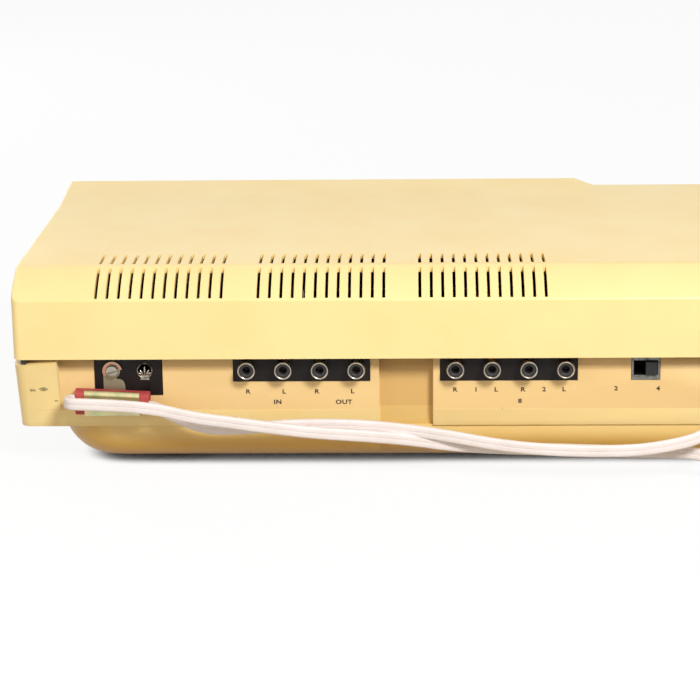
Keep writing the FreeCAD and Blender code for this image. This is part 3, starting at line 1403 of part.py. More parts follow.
def belt_loop(extra):
    """Outline round the flywheel and the pulley, this far outside their surfaces."""
    wheel = Vector(capstan_x.number, from_rear(capstan_deep).number)
    pulley = Vector(motor_x.number, from_rear(motor_deep).number)
    radii = (flywheel_radius.number + extra, pulley_radius.number + extra)
    along = pulley - wheel
    reach = along.Length
    heading = math.atan2(along.y, along.x)
    opening = math.acos((radii[0] - radii[1]) / reach)
    spots = {}
    for side in (1, -1):
        direction = Vector(math.cos(heading + side * opening), math.sin(heading + side * opening))
        spots[side] = (wheel + direction * radii[0], pulley + direction * radii[1])
    back = wheel - Vector(math.cos(heading), math.sin(heading)) * radii[0]
    nose = pulley + Vector(math.cos(heading), math.sin(heading)) * radii[1]
    edges = [
        Part.Arc(spots[1][0], back, spots[-1][0]).toShape(),
        Part.LineSegment(spots[-1][0], spots[-1][1]).toShape(),
        Part.Arc(spots[-1][1], nose, spots[1][1]).toShape(),
        Part.LineSegment(spots[1][1], spots[1][0]).toShape(),
    ]
    return Part.Wire(edges)


def make_belt():
    inner = belt_gap.number
    outer = inner + belt_thick.number
    face = Part.Face(belt_loop(outer)).cut(Part.Face(belt_loop(inner)))
    belt = doc.addObject("Part::Feature", "Belt")
    belt.Shape = face.extrude(Vector(0, 0, belt_wide.number))
    return piece("drive_belt", move(belt, 0, 0, belt_low))


def make_head_carriage():
    """Plate on two posts that lifts the head from track to track."""
    y = from_rear(carriage_deep)
    half = carriage_pitch / 2
    high = carriage_low + carriage_thick
    x = (head_x - half - 4, head_x + half + 4)
    plate = box(x, (y - 4, y + 4), (carriage_low, high))
    shelf = box((head_x - head_wide / 2, head_x + head_wide / 2), (y - 4 - head_deep, y),
                (carriage_low, high))
    follower_x = cam_x + cam_radius - follower_in
    finger = box((follower_x - 2, x[0] + 1), (from_rear(cam_deep) - 2, from_rear(cam_deep) + 2),
                 (carriage_low, high))
    pin = rod("z", (follower_x, from_rear(cam_deep), cam_floor + cam_gap), follower_radius,
              high - cam_floor - cam_gap)
    collars = [rod("z", (head_x + side * half, y, carriage_low), 3, 6) for side in (-1, 1)]
    bores = [rod("z", (head_x + side * half, y, carriage_low - 1), capstan_radius + running_gap, 9)
             for side in (-1, 1)]
    return piece("head_carriage", cut(fuse([plate, shelf, finger, pin, *collars]), bores))


def make_tape_head():
    """Head in its shield can, with the rounded face towards the cartridge."""
    body = new_body()
    top_of = carriage_low + carriage_thick
    section = sketch_on(body, "XY", top_of)
    near = from_rear(carriage_deep) - 4.5
    face = near - head_deep
    half = head_wide / 2
    outline(section, [
        (head_x - half, near), (head_x - half, face + 2),
        (head_x + half, face + 2, head_wide * 0.9), (head_x + half, near),
    ])
    pad(body, section, head_tall, "+")
    return piece("tape_head", body)


def make_track_cam():
    """Four step cam over an eight tooth ratchet; each quarter lifts the carriage one step."""
    centre = Vector(cam_x.number, from_rear(cam_deep).number, 0)
    radius = cam_radius.number
    low = chassis_top.number + 0.3
    bottom = Part.makeCylinder(radius, cam_floor.number - low, centre + Vector(0, 0, low))
    for tooth in range(8):
        notch = Part.makeBox(1.6, 1.2, 2)
        notch.translate(Vector(radius - 1.2, -0.6, 0))
        notch.rotate(Vector(), Vector(0, 0, 1), 45 * tooth + 22.5)
        bottom = bottom.cut(notch.translated(centre + Vector(0, 0, low)))
    solid = bottom
    for quarter in range(1, 4):
        start = -90 * quarter - 45
        lift = quarter * cam_step.number
        step = Part.makeCylinder(radius, lift, centre + Vector(0, 0, cam_floor.number),
                                 Vector(0, 0, 1), 90)
        step.rotate(centre, Vector(0, 0, 1), start)
        solid = solid.fuse(step)
    bore = Part.makeCylinder(cam_post.number + running_gap.number, 40, centre)
    cam = doc.addObject("Part::Feature", "Cam")
    cam.Shape = solid.cut(bore).removeSplitter()
    return piece("track_cam", cam)


def make_solenoid():
    """Solenoid frame and coil, with the bore that the plunger slides in."""
    half = 9
    depths = (from_rear(solenoid_far), from_rear(solenoid_near))
    frame = box((cam_x - half, cam_x + half), depths, (chassis_top, plunger_up + half - 1))
    room = box((cam_x - half - 1, cam_x + half + 1), (depths[0] + 2, depths[1] - 2),
               (chassis_top + 2, plunger_up + half - 3))
    coil = rod("y", (cam_x, depths[0] + 2, plunger_up - 0.6), 5, solenoid_far - solenoid_near - 4)
    bore = rod("y", (cam_x, depths[0] - 1, plunger_up - 0.6), plunger_radius + 0.1,
               solenoid_far - solenoid_near - 1)
    return piece("track_solenoid", cut(fuse([cut(frame, [room]), coil]), [bore]))


def make_plunger():
    """Plunger with the pawl that turns the cam's ratchet."""
    tip = cam_deep - cam_radius - pawl_gap
    rear = solenoid_near + 2 + plunger_travel + slide_gap
    start = tip - pawl_thick / 2
    bar = rod("y", (cam_x, from_rear(start), plunger_up - 0.6), plunger_radius, start - rear)
    pawl = box((cam_x - 1.2, cam_x + 1.2), (from_rear(tip), from_rear(tip - pawl_thick)),
               (chassis_top + 0.5, plunger_up))
    return piece("solenoid_plunger", fuse([bar, pawl]))


roller_x = bay_left - (roller_radius - roller_in)


def make_latch_arm():
    """Sprung arm beside the bay; its pin carries the roller that holds the cartridge."""
    pivot = (arm_x, from_rear(arm_deep))
    low = bay_floor + 14.4
    high = low + 2
    eye = rod("z", (*pivot, chassis_top + 0.3), 4, high - chassis_top - 0.3)
    roller = (roller_x, from_rear(roller_deep))
    bar = box((roller[0] - 3, roller[0] + 2), (pivot[1], roller[1] + 2), (low, high))
    link = box((pivot[0] - 2, roller[0]), (pivot[1] - 2, pivot[1] + 4), (low, high))
    pin = rod("z", (*roller, bay_floor + 5), capstan_radius, high - bay_floor - 5)
    bore = rod("z", (*pivot, chassis_top), cam_post + running_gap, arm_post_tall)
    return piece("cartridge_latch_arm", cut(fuse([eye, bar, link, pin]), [bore]))


def make_latch_roller():
    place = (roller_x, from_rear(roller_deep))
    wheel = rod("z", (*place, bay_floor + 6), roller_radius, 8)
    bore = rod("z", (*place, bay_floor + 5), capstan_radius + running_gap, 10)
    return piece("cartridge_roller", cut(wheel, [bore]))


# ---------------------------------------------------------------- electronics

board_high_face = chassis_top + board_post + pcb_thick


def make_main_board():
    depths = (from_rear(board_rear), from_rear(board_front))
    plate = box((board_low, board_high), depths, (board_high_face - pcb_thick, board_high_face))
    return piece("main_board", plate)


def board_depth(share):
    """A place on the main board, as a share of the way from its rear edge to its front edge."""
    return board_rear + (board_front - board_rear) * share


def board_across(share):
    """A place on the main board, as a share of the way from the heat sink to the board's other end."""
    start = sink_left + fin_pitch * 8 + fin_thick
    return start + (board_high - start) * share


def make_board_parts():
    """Tall parts on the main board: capacitors, coils and small transistors."""
    parts = []
    cans = [(0.273, 0.35, 1, 1), (0.125, 0.3, 0.7, 0.65), (0.432, 0.49, 0.6, 0.5), (0.568, 0.4, 0.6, 0.5),
            (0.705, 0.53, 0.7, 0.6), (0.83, 0.35, 0.47, 0.3), (0.898, 0.67, 0.47, 0.3)]
    for across, share, wide, tall in cans:
        place = (board_across(across), from_rear(board_depth(share)), board_high_face)
        parts.append(rod("z", place, filter_radius * wide, filter_tall * tall))
    half = transistor_half
    for across, share in ((0.364, 0.77), (0.489, 0.81), (0.636, 0.81), (0.773, 0.77), (0.955, 0.3)):
        x = board_across(across)
        middle = from_rear(board_depth(share) - 3)
        parts.append(box((x - half, x + half), (middle - half * 0.75, middle + half * 0.75),
                         (board_high_face, board_high_face + transistor_tall)))
    return piece("board_components", fuse(parts))


def make_heat_sink():
    """Finned heat sink of the output stage, standing on the main board."""
    body = new_body()
    section = sketch_on(body, "XY", board_high_face)
    front_edge = board_depth(0.58)
    rear, front = from_rear(front_edge - sink_deep), from_rear(front_edge)
    corners = [(sink_left, front), (sink_left + fin_pitch * 8 + fin_thick, front)]
    for fin in range(8, -1, -1):
        x = sink_left + fin_pitch * fin
        corners += [(x + fin_thick, rear), (x, rear)]
        if fin:
            corners += [(x, front + sink_back), (x - fin_pitch + fin_thick, front + sink_back)]
    outline(section, corners)
    pad(body, section, sink_tall, "+")
    return piece("heat_sink", body)


def make_transformer():
    """Laminated core with its wound bobbin bulging on both sides."""
    depths = (from_rear(core_rear + core_thick), from_rear(core_rear))
    core = box((transformer_x - core_wide / 2, transformer_x + core_wide / 2), depths,
               (chassis_top, chassis_top + core_tall))
    middle = chassis_top + core_tall / 2
    coil = box((transformer_x - bobbin_half, transformer_x + bobbin_half),
               (depths[0] - bobbin_bulge, depths[1] + bobbin_bulge),
               (middle - bobbin_tall / 2, middle + bobbin_tall / 2))
    return piece("power_transformer", fuse([core, coil]))


def half_disc(depth, radius, thick, upper):
    """Half a disc round the gang's shaft: the upper half, or the one towards low x."""
    disc = rod("y", (gang_x, from_rear(depth), gang_up), radius, thick)
    reach = radius + 1
    across = (gang_x - reach, gang_x + reach if upper else gang_x)
    keep = box(across, (from_rear(depth + 1), from_rear(depth - thick - 1)),
               (gang_up if upper else gang_up - reach, gang_up + reach))
    half = doc.addObject("Part::Common", "Half")
    half.Base = disc
    half.Tool = keep
    return half


def make_gang():
    """Frame of the tuning capacitor with its fixed vanes."""
    side = vane_radius + 4
    base = box((gang_x - side, gang_x + side), (from_rear(gang_front), from_rear(gang_rear)),
               (chassis_top, chassis_top + 2))
    solids = [base]
    for depth in (gang_front, gang_rear + 2):
        solids.append(box((gang_x - side, gang_x + side), (from_rear(depth), from_rear(depth - 2)),
                          (chassis_top, gang_up + 8)))
    rack = box((gang_x - side, gang_x - side + 2.5), (from_rear(gang_front), from_rear(gang_rear)),
               (gang_up - 6, gang_up + 6))
    solids.append(rack)
    frame = cut(fuse(solids), [rod("y", (gang_x, from_rear(gang_front + 1), gang_up),
                                   shaft_radius + shaft_fit, gang_front - gang_rear + 4)])
    vanes = []
    for number in range(vane_count - 1):
        depth = gang_front - 6 - vane_pitch * (number + 0.5)
        fixed = half_disc(depth, vane_radius + 2.5, vane_thick, False)
        room = rod("y", (gang_x, from_rear(depth + 1), gang_up), shaft_radius + 2, vane_thick + 2)
        vanes.append(cut(fixed, [room]))
    return piece("tuning_gang", fuse([frame, *vanes]))


def make_rotor():
    """Shaft with the moving vanes and the dial drum."""
    drum_at = gang_front + 2.5 + 5
    shaft = rod("y", (gang_x, from_rear(drum_at + 1), gang_up), shaft_radius, drum_at - gang_rear + 2)
    solids = [shaft]
    for number in range(vane_count):
        depth = gang_front - 6 - vane_pitch * number
        solids.append(half_disc(depth, vane_radius, vane_thick, True))
    solids.append(rod("y", (gang_x, from_rear(drum_at), gang_up), drum_radius, 5))
    return piece("gang_rotor", fuse(solids))


# ---------------------------------------------------------------- line cord


def make_strain_relief():
    """Moulded bush in the second panel, round the cord's exit."""
    place = (relief_x, from_rear(panel_recess), relief_up)
    collar = rod("y", place, relief_radius, relief_reach)
    flange = rod("y", place, relief_radius + 2, 1.6)
    return piece("strain_relief", fuse([collar, flange]))


def cord_route():
    """The cord's points, from the strain relief to the coil: x, outside the rear band, up.

    They are drawn for a case 360 wide, and keep their distance from its ends on another one.
    """
    mid = sleeve_deep.number / 2 - sleeve_back.number
    start = relief_reach.number - panel_recess.number
    route = [
        (-147, start, relief_up.number), (-147, 6, relief_up.number),
        (-144, 13, 32), (-136, 17, 25), (-124, 18, 20.5), (-108, 18, 17), (-88, 17.5, 15.5),
        (-68, 16.5, 15.8), (-48, 14.5, 17.2), (-28, 10, 19.6), (-6, 5, 22.8), (17, 2.5, 25.2),
        (40, 1, 25.8), (60, 0.2, 25.2), (78, -0.2, 25.8), (94, -1, 28.8),
        (109, mid, sleeve_up.number), (160, mid, sleeve_up.number),
        (160, mid + 12.4, sleeve_up.number + 0.6), (145, mid + 12.8, sleeve_up.number + 0.4),
        (129, mid + 12.4, sleeve_up.number - 0.2), (113, mid + 12.6, 33.2), (98, 9.4, 30.6),
        (84, 9.8, 27.2), (64, 10, 24.6), (42, 8.6, 22.2), (20, 6, 20.4), (-2, 4, 17.6),
        (-24, 3, 14.8), (-46, 4, 13.4), (-68, 5, 13.2), (-90, 6, 12.6), (-112, 7, 10.4),
        (-132, 9, 8.6), (-148, 14, 5.6), (-162, 19, 3.6), (-176, 23, 3.2),
    ]
    wider = half_width.number - 180
    return [(x + wider * max(-1, min(1, x / 90)), out, up) for x, out, up in route]


def tangent_arcs(points):
    """Straight runs joined by arcs; each arc is as large as its two runs allow."""
    edges = []
    here = points[0]
    radii = []
    for before, corner, after in zip(points, points[1:], points[2:]):
        run_in = corner - before
        run_out = after - corner
        turn = run_in.getAngle(run_out)
        reach = 0.45 * min(run_in.Length, run_out.Length)
        entry = corner - run_in * (reach / run_in.Length)
        leave = corner + run_out * (reach / run_out.Length)
        radius = reach / math.tan(turn / 2)
        bisector = (leave - corner).normalize() + (entry - corner).normalize()
        middle = corner + bisector.normalize() * (math.hypot(radius, reach) - radius)
        edges.append(Part.LineSegment(here, entry).toShape())
        edges.append(Part.Arc(entry, middle, leave).toShape())
        radii.append(radius)
        here = leave
    edges.append(Part.LineSegment(here, points[-1]).toShape())
    return Part.Wire(edges), radii


def make_line_cord():
    """The stretch of the line cord that isn't coiled, as a plain round tube."""
    points = [Vector(x, rear_y.number + out, up) for x, out, up in cord_route()]
    path, radii = tangent_arcs(points)
    radius = cord_width.number / 2
    heading = points[1] - points[0]
    ring = Part.Wire(Part.makeCircle(radius, points[0], heading))
    tube = path.makePipeShell([ring], True, False, 2)
    cord = doc.addObject("Part::Feature", "Cord")
    cord.Shape = tube
    expected = math.pi * radius ** 2 * path.Length
    print(f"cord: length {path.Length:.0f} mm, volume {tube.Volume / expected:.4f} of section times length")
    print("cord radii:", " ".join(f"{value:.0f}" for value in radii))
    return piece("line_cord", cord)


def coil_centre():
    x, out, up = cord_route()[-1]
    return x - 10, out + (coil_outer + coil_inner).number / 2 + 2


def make_coil():
    """The rest of the cord, wound into a ring that lies on the table."""
    x, out = coil_centre()
    rings = []
    for radius, sides in ((coil_outer, 28), (coil_inner, 20)):
        prism = doc.addObject("Part::Prism", "Ring")
        prism.Polygon = sides
        bind(prism, "Circumradius", radius)
        bind(prism, "Height", coil_tall)
        move(prism, x, rear_y + out, 0)
        rings.append(prism)
    return piece("line_cord_coil", cut(rings[0], [rings[1]]))


def make_plug():
    """Two pin plug beside the coil, in line with the cord's last turn."""
    x, out = coil_centre()
    start = x - coil_outer * 0.71
    end = start - plug_long
    y = rear_y + out - coil_outer + cord_width * 0.45
    low = 1
    body = box((end, start), (y - plug_half, y + plug_half), (low, low + plug_tall))
    pins = []
    for side in (-1, 1):
        middle = y + side * pin_spread
        pins.append(box((end - pin_long, end), (middle - pin_thick / 2, middle + pin_thick / 2),
                        (low + plug_tall * 0.2, low + plug_tall * 0.8)))
    return piece("line_cord_plug", fuse([body, *pins]))


# ---------------------------------------------------------------- build and export

def build():
    make_top_shell()
    make_base_tray()
    make_feet()
    make_bumpers()
    make_case_screws()
    make_chassis()
    make_antenna_board()
    make_antenna_screws()
    make_coupler_sleeve()
    make_coupler_liner()
    make_jack_boards()
    make_phono_jacks()
    make_switch_plate()
    make_switch_body()
    make_switch_slider()
    make_bezel()
    make_dial_window()
    make_dial_channel()
    make_pointer()
    make_dial_lamps()
    make_door()
    make_hinge_pin()
    make_knobs()
    make_tuning_shaft()
    make_button("program_button", program_mid, program_half)
    make_button("power_button", power_mid, power_half)
    make_button_switches()
    make_program_lamps()
    make_headphone_jack()
    make_control_pots()
    make_cartridge_guide()
    make_capstan_shaft()
    make_flywheel()
    make_capstan_bearing()
    make_motor()
    make_motor_pulley()
    make_belt()
    make_head_carriage()
    make_tape_head()
    make_track_cam()
    make_solenoid()
    make_plunger()
    make_latch_arm()
    make_latch_roller()
    make_main_board()
    make_board_parts()
    make_heat_sink()
    make_transformer()
    make_gang()
    make_rotor()
    make_strain_relief()
    make_line_cord()
    make_coil()
    make_plug()


def check():
    """Stop before anything is written if an object or a sub-part has failed."""
    doc.recompute()
    for item in doc.Objects:
        if {"Invalid", "Error"} & set(item.State):
            raise RuntimeError(f"{item.Name} ({item.Label}) is {item.State}")
    for name, item in pieces.items():
        if item.Shape.isNull() or not item.Shape.isValid():
            raise RuntimeError(f"{name} has no valid shape")


def export():
    os.makedirs("parts", exist_ok=True)
    for name, item in pieces.items():
        item.Shape.exportStep(f"parts/{name}.step")


build()
check()
export()
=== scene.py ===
"""Compact eight track tape player with tuner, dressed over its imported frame.

In metres, +Z up, with the rear at +Y.
"""
import math

import bmesh
import bpy
from mathutils import Matrix, Vector


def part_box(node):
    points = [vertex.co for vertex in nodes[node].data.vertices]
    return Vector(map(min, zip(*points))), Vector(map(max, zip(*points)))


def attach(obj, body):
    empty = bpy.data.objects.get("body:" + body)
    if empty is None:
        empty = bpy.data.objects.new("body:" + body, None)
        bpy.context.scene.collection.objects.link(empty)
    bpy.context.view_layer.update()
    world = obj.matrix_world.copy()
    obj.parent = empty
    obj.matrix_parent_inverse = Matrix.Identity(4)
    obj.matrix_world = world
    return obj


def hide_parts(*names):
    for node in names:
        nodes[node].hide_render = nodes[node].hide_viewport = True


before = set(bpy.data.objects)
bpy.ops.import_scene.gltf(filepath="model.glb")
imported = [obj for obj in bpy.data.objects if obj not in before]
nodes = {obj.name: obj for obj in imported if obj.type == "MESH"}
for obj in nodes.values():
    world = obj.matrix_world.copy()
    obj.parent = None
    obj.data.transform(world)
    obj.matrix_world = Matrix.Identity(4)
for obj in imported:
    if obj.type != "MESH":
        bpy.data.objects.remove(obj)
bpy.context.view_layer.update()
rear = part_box("top_shell")[1].y
bench = bpy.context.scene.collection

# ---------------------------------------------------------------- camera, paper and lamps
# A long lens a metre behind the player and a little above it. The player stands on white paper.
# Broad soft boxes light its rear and top; the room adds an even fill from every side.

MM = 0.001
lens_px, frame_px = 2250, 700
pitch, yaw, roll = 0.2711, 0.0280, -0.0117
stand_across, stand_behind, stand_up = -1.34, 982.5, 333.5
ahead = Vector((math.sin(yaw) * math.cos(pitch), -math.cos(yaw) * math.cos(pitch),
                -math.sin(pitch)))
level = ahead.cross(Vector((0, 0, 1))).normalized()
upright = level.cross(ahead)
right = level * math.cos(roll) + upright * math.sin(roll)
above = upright * math.cos(roll) - level * math.sin(roll)

lens = bpy.data.cameras.new("camera")
lens.sensor_width = 36
lens.lens = lens_px / frame_px * lens.sensor_width
lens.clip_start, lens.clip_end = 0.05, 20
camera = bpy.data.objects.new("camera", lens)
bench.objects.link(camera)
stand = Matrix((right, above, -ahead)).transposed().to_4x4()
stand.translation = Vector((stand_across * MM, rear + stand_behind * MM, stand_up * MM))
camera.matrix_world = stand
bpy.context.scene.camera = camera
bpy.context.scene.view_settings.view_transform = "Standard"


def linear(code):
    """An sRGB hex colour as Blender's linear red, green, blue and alpha."""
    parts = [int(code[at:at + 2], 16) / 255 for at in (1, 3, 5)]
    return (*[part / 12.92 if part <= 0.04045 else ((part + 0.055) / 1.055) ** 2.4
              for part in parts], 1)


def add(tree, kind, settings=None, **inputs):
    """Add a node; its inputs are filled or linked by name (_ for a space) or by _number."""
    node = tree.nodes.new(kind)
    for name, value in (settings or {}).items():
        setattr(node, name, value)
    for name, value in inputs.items():
        socket = node.inputs[int(name[1:]) if name[0] == "_" else name.replace("_", " ")]
        if isinstance(value, bpy.types.NodeSocket):
            tree.links.new(value, socket)
        else:
            socket.default_value = value
    return node


def seen_rays(tree):
    """1 for the rays of the camera, of reflections and of what is seen through glass, else 0."""
    rays = add(tree, "ShaderNodeLightPath")
    seen = add(tree, "ShaderNodeMath", {"operation": "MAXIMUM"}, _0=rays.outputs["Is Camera Ray"],
               _1=rays.outputs["Is Glossy Ray"])
    return add(tree, "ShaderNodeMath", {"operation": "MAXIMUM"}, _0=seen.outputs[0],
               _1=rays.outputs["Is Transmission Ray"]).outputs[0]


def finish(name, colour, roughness, **sockets):
    """A new material with its node tree and its Principled shader."""
    material = bpy.data.materials.new(name)
    material.use_nodes = True
    shader = material.node_tree.nodes["Principled BSDF"]
    shader.inputs["Base Color"].default_value = linear(colour)
    shader.inputs["Roughness"].default_value = roughness
    for socket, value in sockets.items():
        shader.inputs[socket.replace("_", " ")].default_value = value
    return material, material.node_tree, shader


# Matt white paper: lit and shaded as it is, and shown near white to the camera and in reflections,
# apart from a painted contact shadow: where something stands close over it, its ambient occlusion
# paints it near black.
paper, tree, shader = finish("seamless_paper", "#F2F1EF", 0.9)
seen = seen_rays(tree)
near = add(tree, "ShaderNodeAmbientOcclusion", Distance=15 * MM)
open_air = add(tree, "ShaderNodeMapRange", Value=near.outputs["AO"], _1=0.1, _2=0.36)
share = add(tree, "ShaderNodeMath", {"operation": "MULTIPLY"}, _0=seen, _1=0.92)
share = add(tree, "ShaderNodeMath", {"operation": "MULTIPLY"}, _0=share.outputs[0],
            _1=open_air.outputs[0])
white = add(tree, "ShaderNodeEmission", Color=linear("#FFFFFF"), Strength=1.0)
# Painted contact shadow: deep occlusion turns the paper's colour near black and takes away its white.
ground = add(tree, "ShaderNodeMix", {"data_type": "RGBA"}, _0=open_air.outputs[0],
             _6=linear("#241C16"), _7=linear("#F9F8F7"))
tone = add(tree, "ShaderNodeMix", {"data_type": "RGBA"}, _0=seen, _6=linear("#B0A693"),
           _7=ground.outputs[2])
tree.links.new(tone.outputs[2], shader.inputs["Base Color"])
blend = add(tree, "ShaderNodeMixShader", _0=share.outputs[0], _1=shader.outputs[0],
            _2=white.outputs[0])
tree.links.new(blend.outputs[0], tree.nodes["Material Output"].inputs["Surface"])

sheet = bmesh.new()
paper_half, paper_under = 3, 0.0002
for x, y in ((-1, -1), (1, -1), (1, 1), (-1, 1)):
    sheet.verts.new((x * paper_half, y * paper_half, -paper_under))
sheet.faces.new(sheet.verts)
paper_mesh = bpy.data.meshes.new("paper")
sheet.to_mesh(paper_mesh)
paper_mesh.materials.append(paper)
floor = bpy.data.objects.new("paper", paper_mesh)
bench.objects.link(floor)

room = bpy.data.worlds.new("room")
bpy.context.scene.world = room
room.use_nodes = True
tree = room.node_tree
tree.nodes.clear()
seen = seen_rays(tree)
fill = add(tree, "ShaderNodeBackground", Color=linear("#FFFDFA"), Strength=0.38)
white = add(tree, "ShaderNodeBackground", Color=linear("#FFFFFF"), Strength=1)
blend = add(tree, "ShaderNodeMixShader", _0=seen, _1=fill.outputs[0], _2=white.outputs[0])
add(tree, "ShaderNodeOutputWorld", Surface=blend.outputs[0])

aim = Vector((0, 0.03, 0.05))
for name, spot, size, power in (("key", (-0.42, 1.1, 0.86), 0.28, 15.3),
                                ("side", (1.0, 0.9, 0.5), 0.8, 3),
                                ("front", (0.9, -1.0, 0.6), 0.9, 5.5)):
    light = bpy.data.lights.new(name, "AREA")
    light.shape, light.size, light.energy = "SQUARE", size, power
    box = bpy.data.objects.new(name, light)
    bench.objects.link(box)
    box.location = spot
    box.rotation_euler = (aim - Vector(spot)).to_track_quat("-Z", "Y").to_euler()

# ---------------------------------------------------------------- line cord
# Flat two core cord of white vinyl, 5.6 by 2.8 mm: two cores side by side with a groove between.
# It leaves the second panel, hangs across the rear, goes through the coupler, folds back round the
# coupler's end and lies down to the table, where the rest is wound into a ring beside its plug.

cord_wide = 5.6 * MM
liner_low, liner_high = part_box("coupler_liner")
axis_out = ((liner_low.y + liner_high.y) / 2 - rear) / MM
axis_up = (liner_low.z + liner_high.z) / 2 / MM
exit_x, exit_out, exit_up = -147, -1.5, 37
route = [
    # Down from the second panel, and along the rear to the coupler.
    (exit_x, exit_out, exit_up), (exit_x, 6, exit_up), (-143, 13, 31), (-131, 18, 23.6),
    (-118, 18.5, 20.4), (-104, 18.5, 18.2), (-88, 17.5, 17.4), (-68, 16.5, 17.6), (-52, 15, 18.3),
    (-37, 12.5, 19.6), (-24, 9.5, 21.2), (-6, 5.5, 23.1), (14, 2.8, 24.8), (36, 1.2, 25.4),
    (58, 0.4, 24.6), (78, -0.2, 23), (91, -0.6, 22.8), (101, -1.6, 25.6),
    # Through the liner, round its end, and back over the coupler's face.
    (110, axis_out + 0.6, 29.8), (120, axis_out, axis_up - 0.8), (155.5, axis_out, axis_up + 2.1),
    (155.5, axis_out + 12.4, axis_up + 3.3), (145, axis_out + 12.8, axis_up + 3.2),
    (129, axis_out + 12.4, axis_up + 2.3), (113, axis_out + 12.6, 35.2),
    # Along the rear again, in front of the first strand, and down to the table.
    (98, 9.4, 31.4), (84, 9.8, 29.6), (64, 10, 26.8), (42, 8.6, 23.6), (20, 6.6, 21.6),
    (-2, 5.4, 19.2), (-22, 5.4, 16.2), (-46, 6, 15.2), (-68, 6.4, 14.7), (-90, 7, 14.1),
    (-112, 7.8, 14), (-132, 9, 13.8), (-150, 14, 8), (-164, 19, 3.8), (-178, 23, 3.2),
]
# Three turns inwards on the table, three outwards on top of them, then off into the plug.
ring_low, ring_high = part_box("line_cord_coil")
ring_x = (ring_low.x + ring_high.x) / 2 / MM
ring_out = ((ring_low.y + ring_high.y) / 2 - rear) / MM
layer_low, layer_high, outer_turn, turn_step = 3.2, 9.0, 35.3, 3.0
turns, per_turn, first_angle = 6, 14, math.radians(-100)
climb_from, climb_turns = 2.8, 0.4
for step in range(turns * per_turn):
    turn = step / per_turn
    radius = outer_turn - turn_step * min(turn, turns - turn)
    climb = min(1, max(0, (turn - climb_from) / climb_turns))
    angle = first_angle - 2 * math.pi * turn
    route.append((ring_x + radius * math.cos(angle), ring_out + radius * math.sin(angle),
                  layer_low + (layer_high - layer_low) * climb))
ring_half, plug_up = 38, 6
plug_start = ring_x - 0.71 * ring_half
plug_out = ring_out - ring_half + 0.45 * cord_wide / MM
route += [(ring_x, plug_out, layer_high), (ring_x - 10, plug_out, layer_high - 0.3),
          (ring_x - 20, plug_out, plug_up + 1.2), (plug_start, plug_out, plug_up + 0.1),
          (plug_start - 5, plug_out, plug_up)]

curve = bpy.data.curves.new("cord_line", "CURVE")
curve.dimensions = "3D"
spline = curve.splines.new("NURBS")
spline.points.add(len(route) - 1)
for point, (x, out, up) in zip(spline.points, route):
    point.co = (x * MM, rear + out * MM, up * MM, 1)
spline.order_u = 3
spline.use_endpoint_u = True
spline.resolution_u = 8


def meshed(name, data):
    """The mesh of a curve or of text."""
    holder = bpy.data.objects.new(name, data)
    mesh = bpy.data.meshes.new_from_object(holder)
    bpy.data.objects.remove(holder)
    return mesh


line = [vertex.co.copy() for vertex in meshed("cord_line", curve).vertices]

# The section: a flat band with round edges, and a fine groove between the cores on either side.
rim = [(0.06, 1.12), (0.22, 1.36), (0.5, 1.4), (1.7, 1.4), (2.2, 1.28), (2.58, 0.98), (2.76, 0.52),
       (2.8, 0)]
rim += [(wide, -thin) for wide, thin in reversed(rim[:-1])]
section = [(side * wide * MM, side * thin * MM) for side in (1, -1) for wide, thin in rim]


def sweep(points, sections, wide_way):
    """Join sections, one for each point, into a closed tube; wide_way is their first axis."""
    shape = bmesh.new()
    rings = []
    for number, (point, outline) in enumerate(zip(points, sections)):
        before, after = points[max(number - 1, 0)], points[min(number + 1, len(points) - 1)]
        heading = (after - before).normalized()
        wide = (wide_way - heading * wide_way.dot(heading)).normalized()
        thin = heading.cross(wide)
        rings.append([shape.verts.new(point + wide * a + thin * b) for a, b in outline])
    for one, two in zip(rings, rings[1:]):
        for corner in range(len(one)):
            shape.faces.new((one[corner], one[corner - 1], two[corner - 1], two[corner]))
    shape.faces.new(rings[0])
    shape.faces.new(reversed(rings[-1]))
    bmesh.ops.recalc_face_normals(shape, faces=shape.faces)
    return shape


def made(name, shape, material, body, smooth):
    """Turn a bmesh into a piece with its material, smooth up to an angle, that rides on a body."""
    mesh = bpy.data.meshes.new(name)
    shape.to_mesh(mesh)
    shape.free()
    mesh.materials.append(material)
    mesh.shade_smooth()
    mesh.set_sharp_from_angle(angle=math.radians(smooth))
    thing = bpy.data.objects.new(name, mesh)
    bench.objects.link(thing)
    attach(thing, body)
    return thing


def shade_by(tree, shader, value, low, high, colour, most=1.0):
    """Mix towards a colour as a value goes from low to high."""
    share = add(tree, "ShaderNodeMapRange", Value=value, _1=low, _2=high, _3=0, _4=most)
    base = shader.inputs["Base Color"]
    known = base.links[0].from_socket if base.links else tuple(base.default_value)
    mixed = add(tree, "ShaderNodeMix", {"data_type": "RGBA"}, _0=share.outputs[0], _6=known,
                _7=linear(colour))
    tree.links.new(mixed.outputs[2], base)


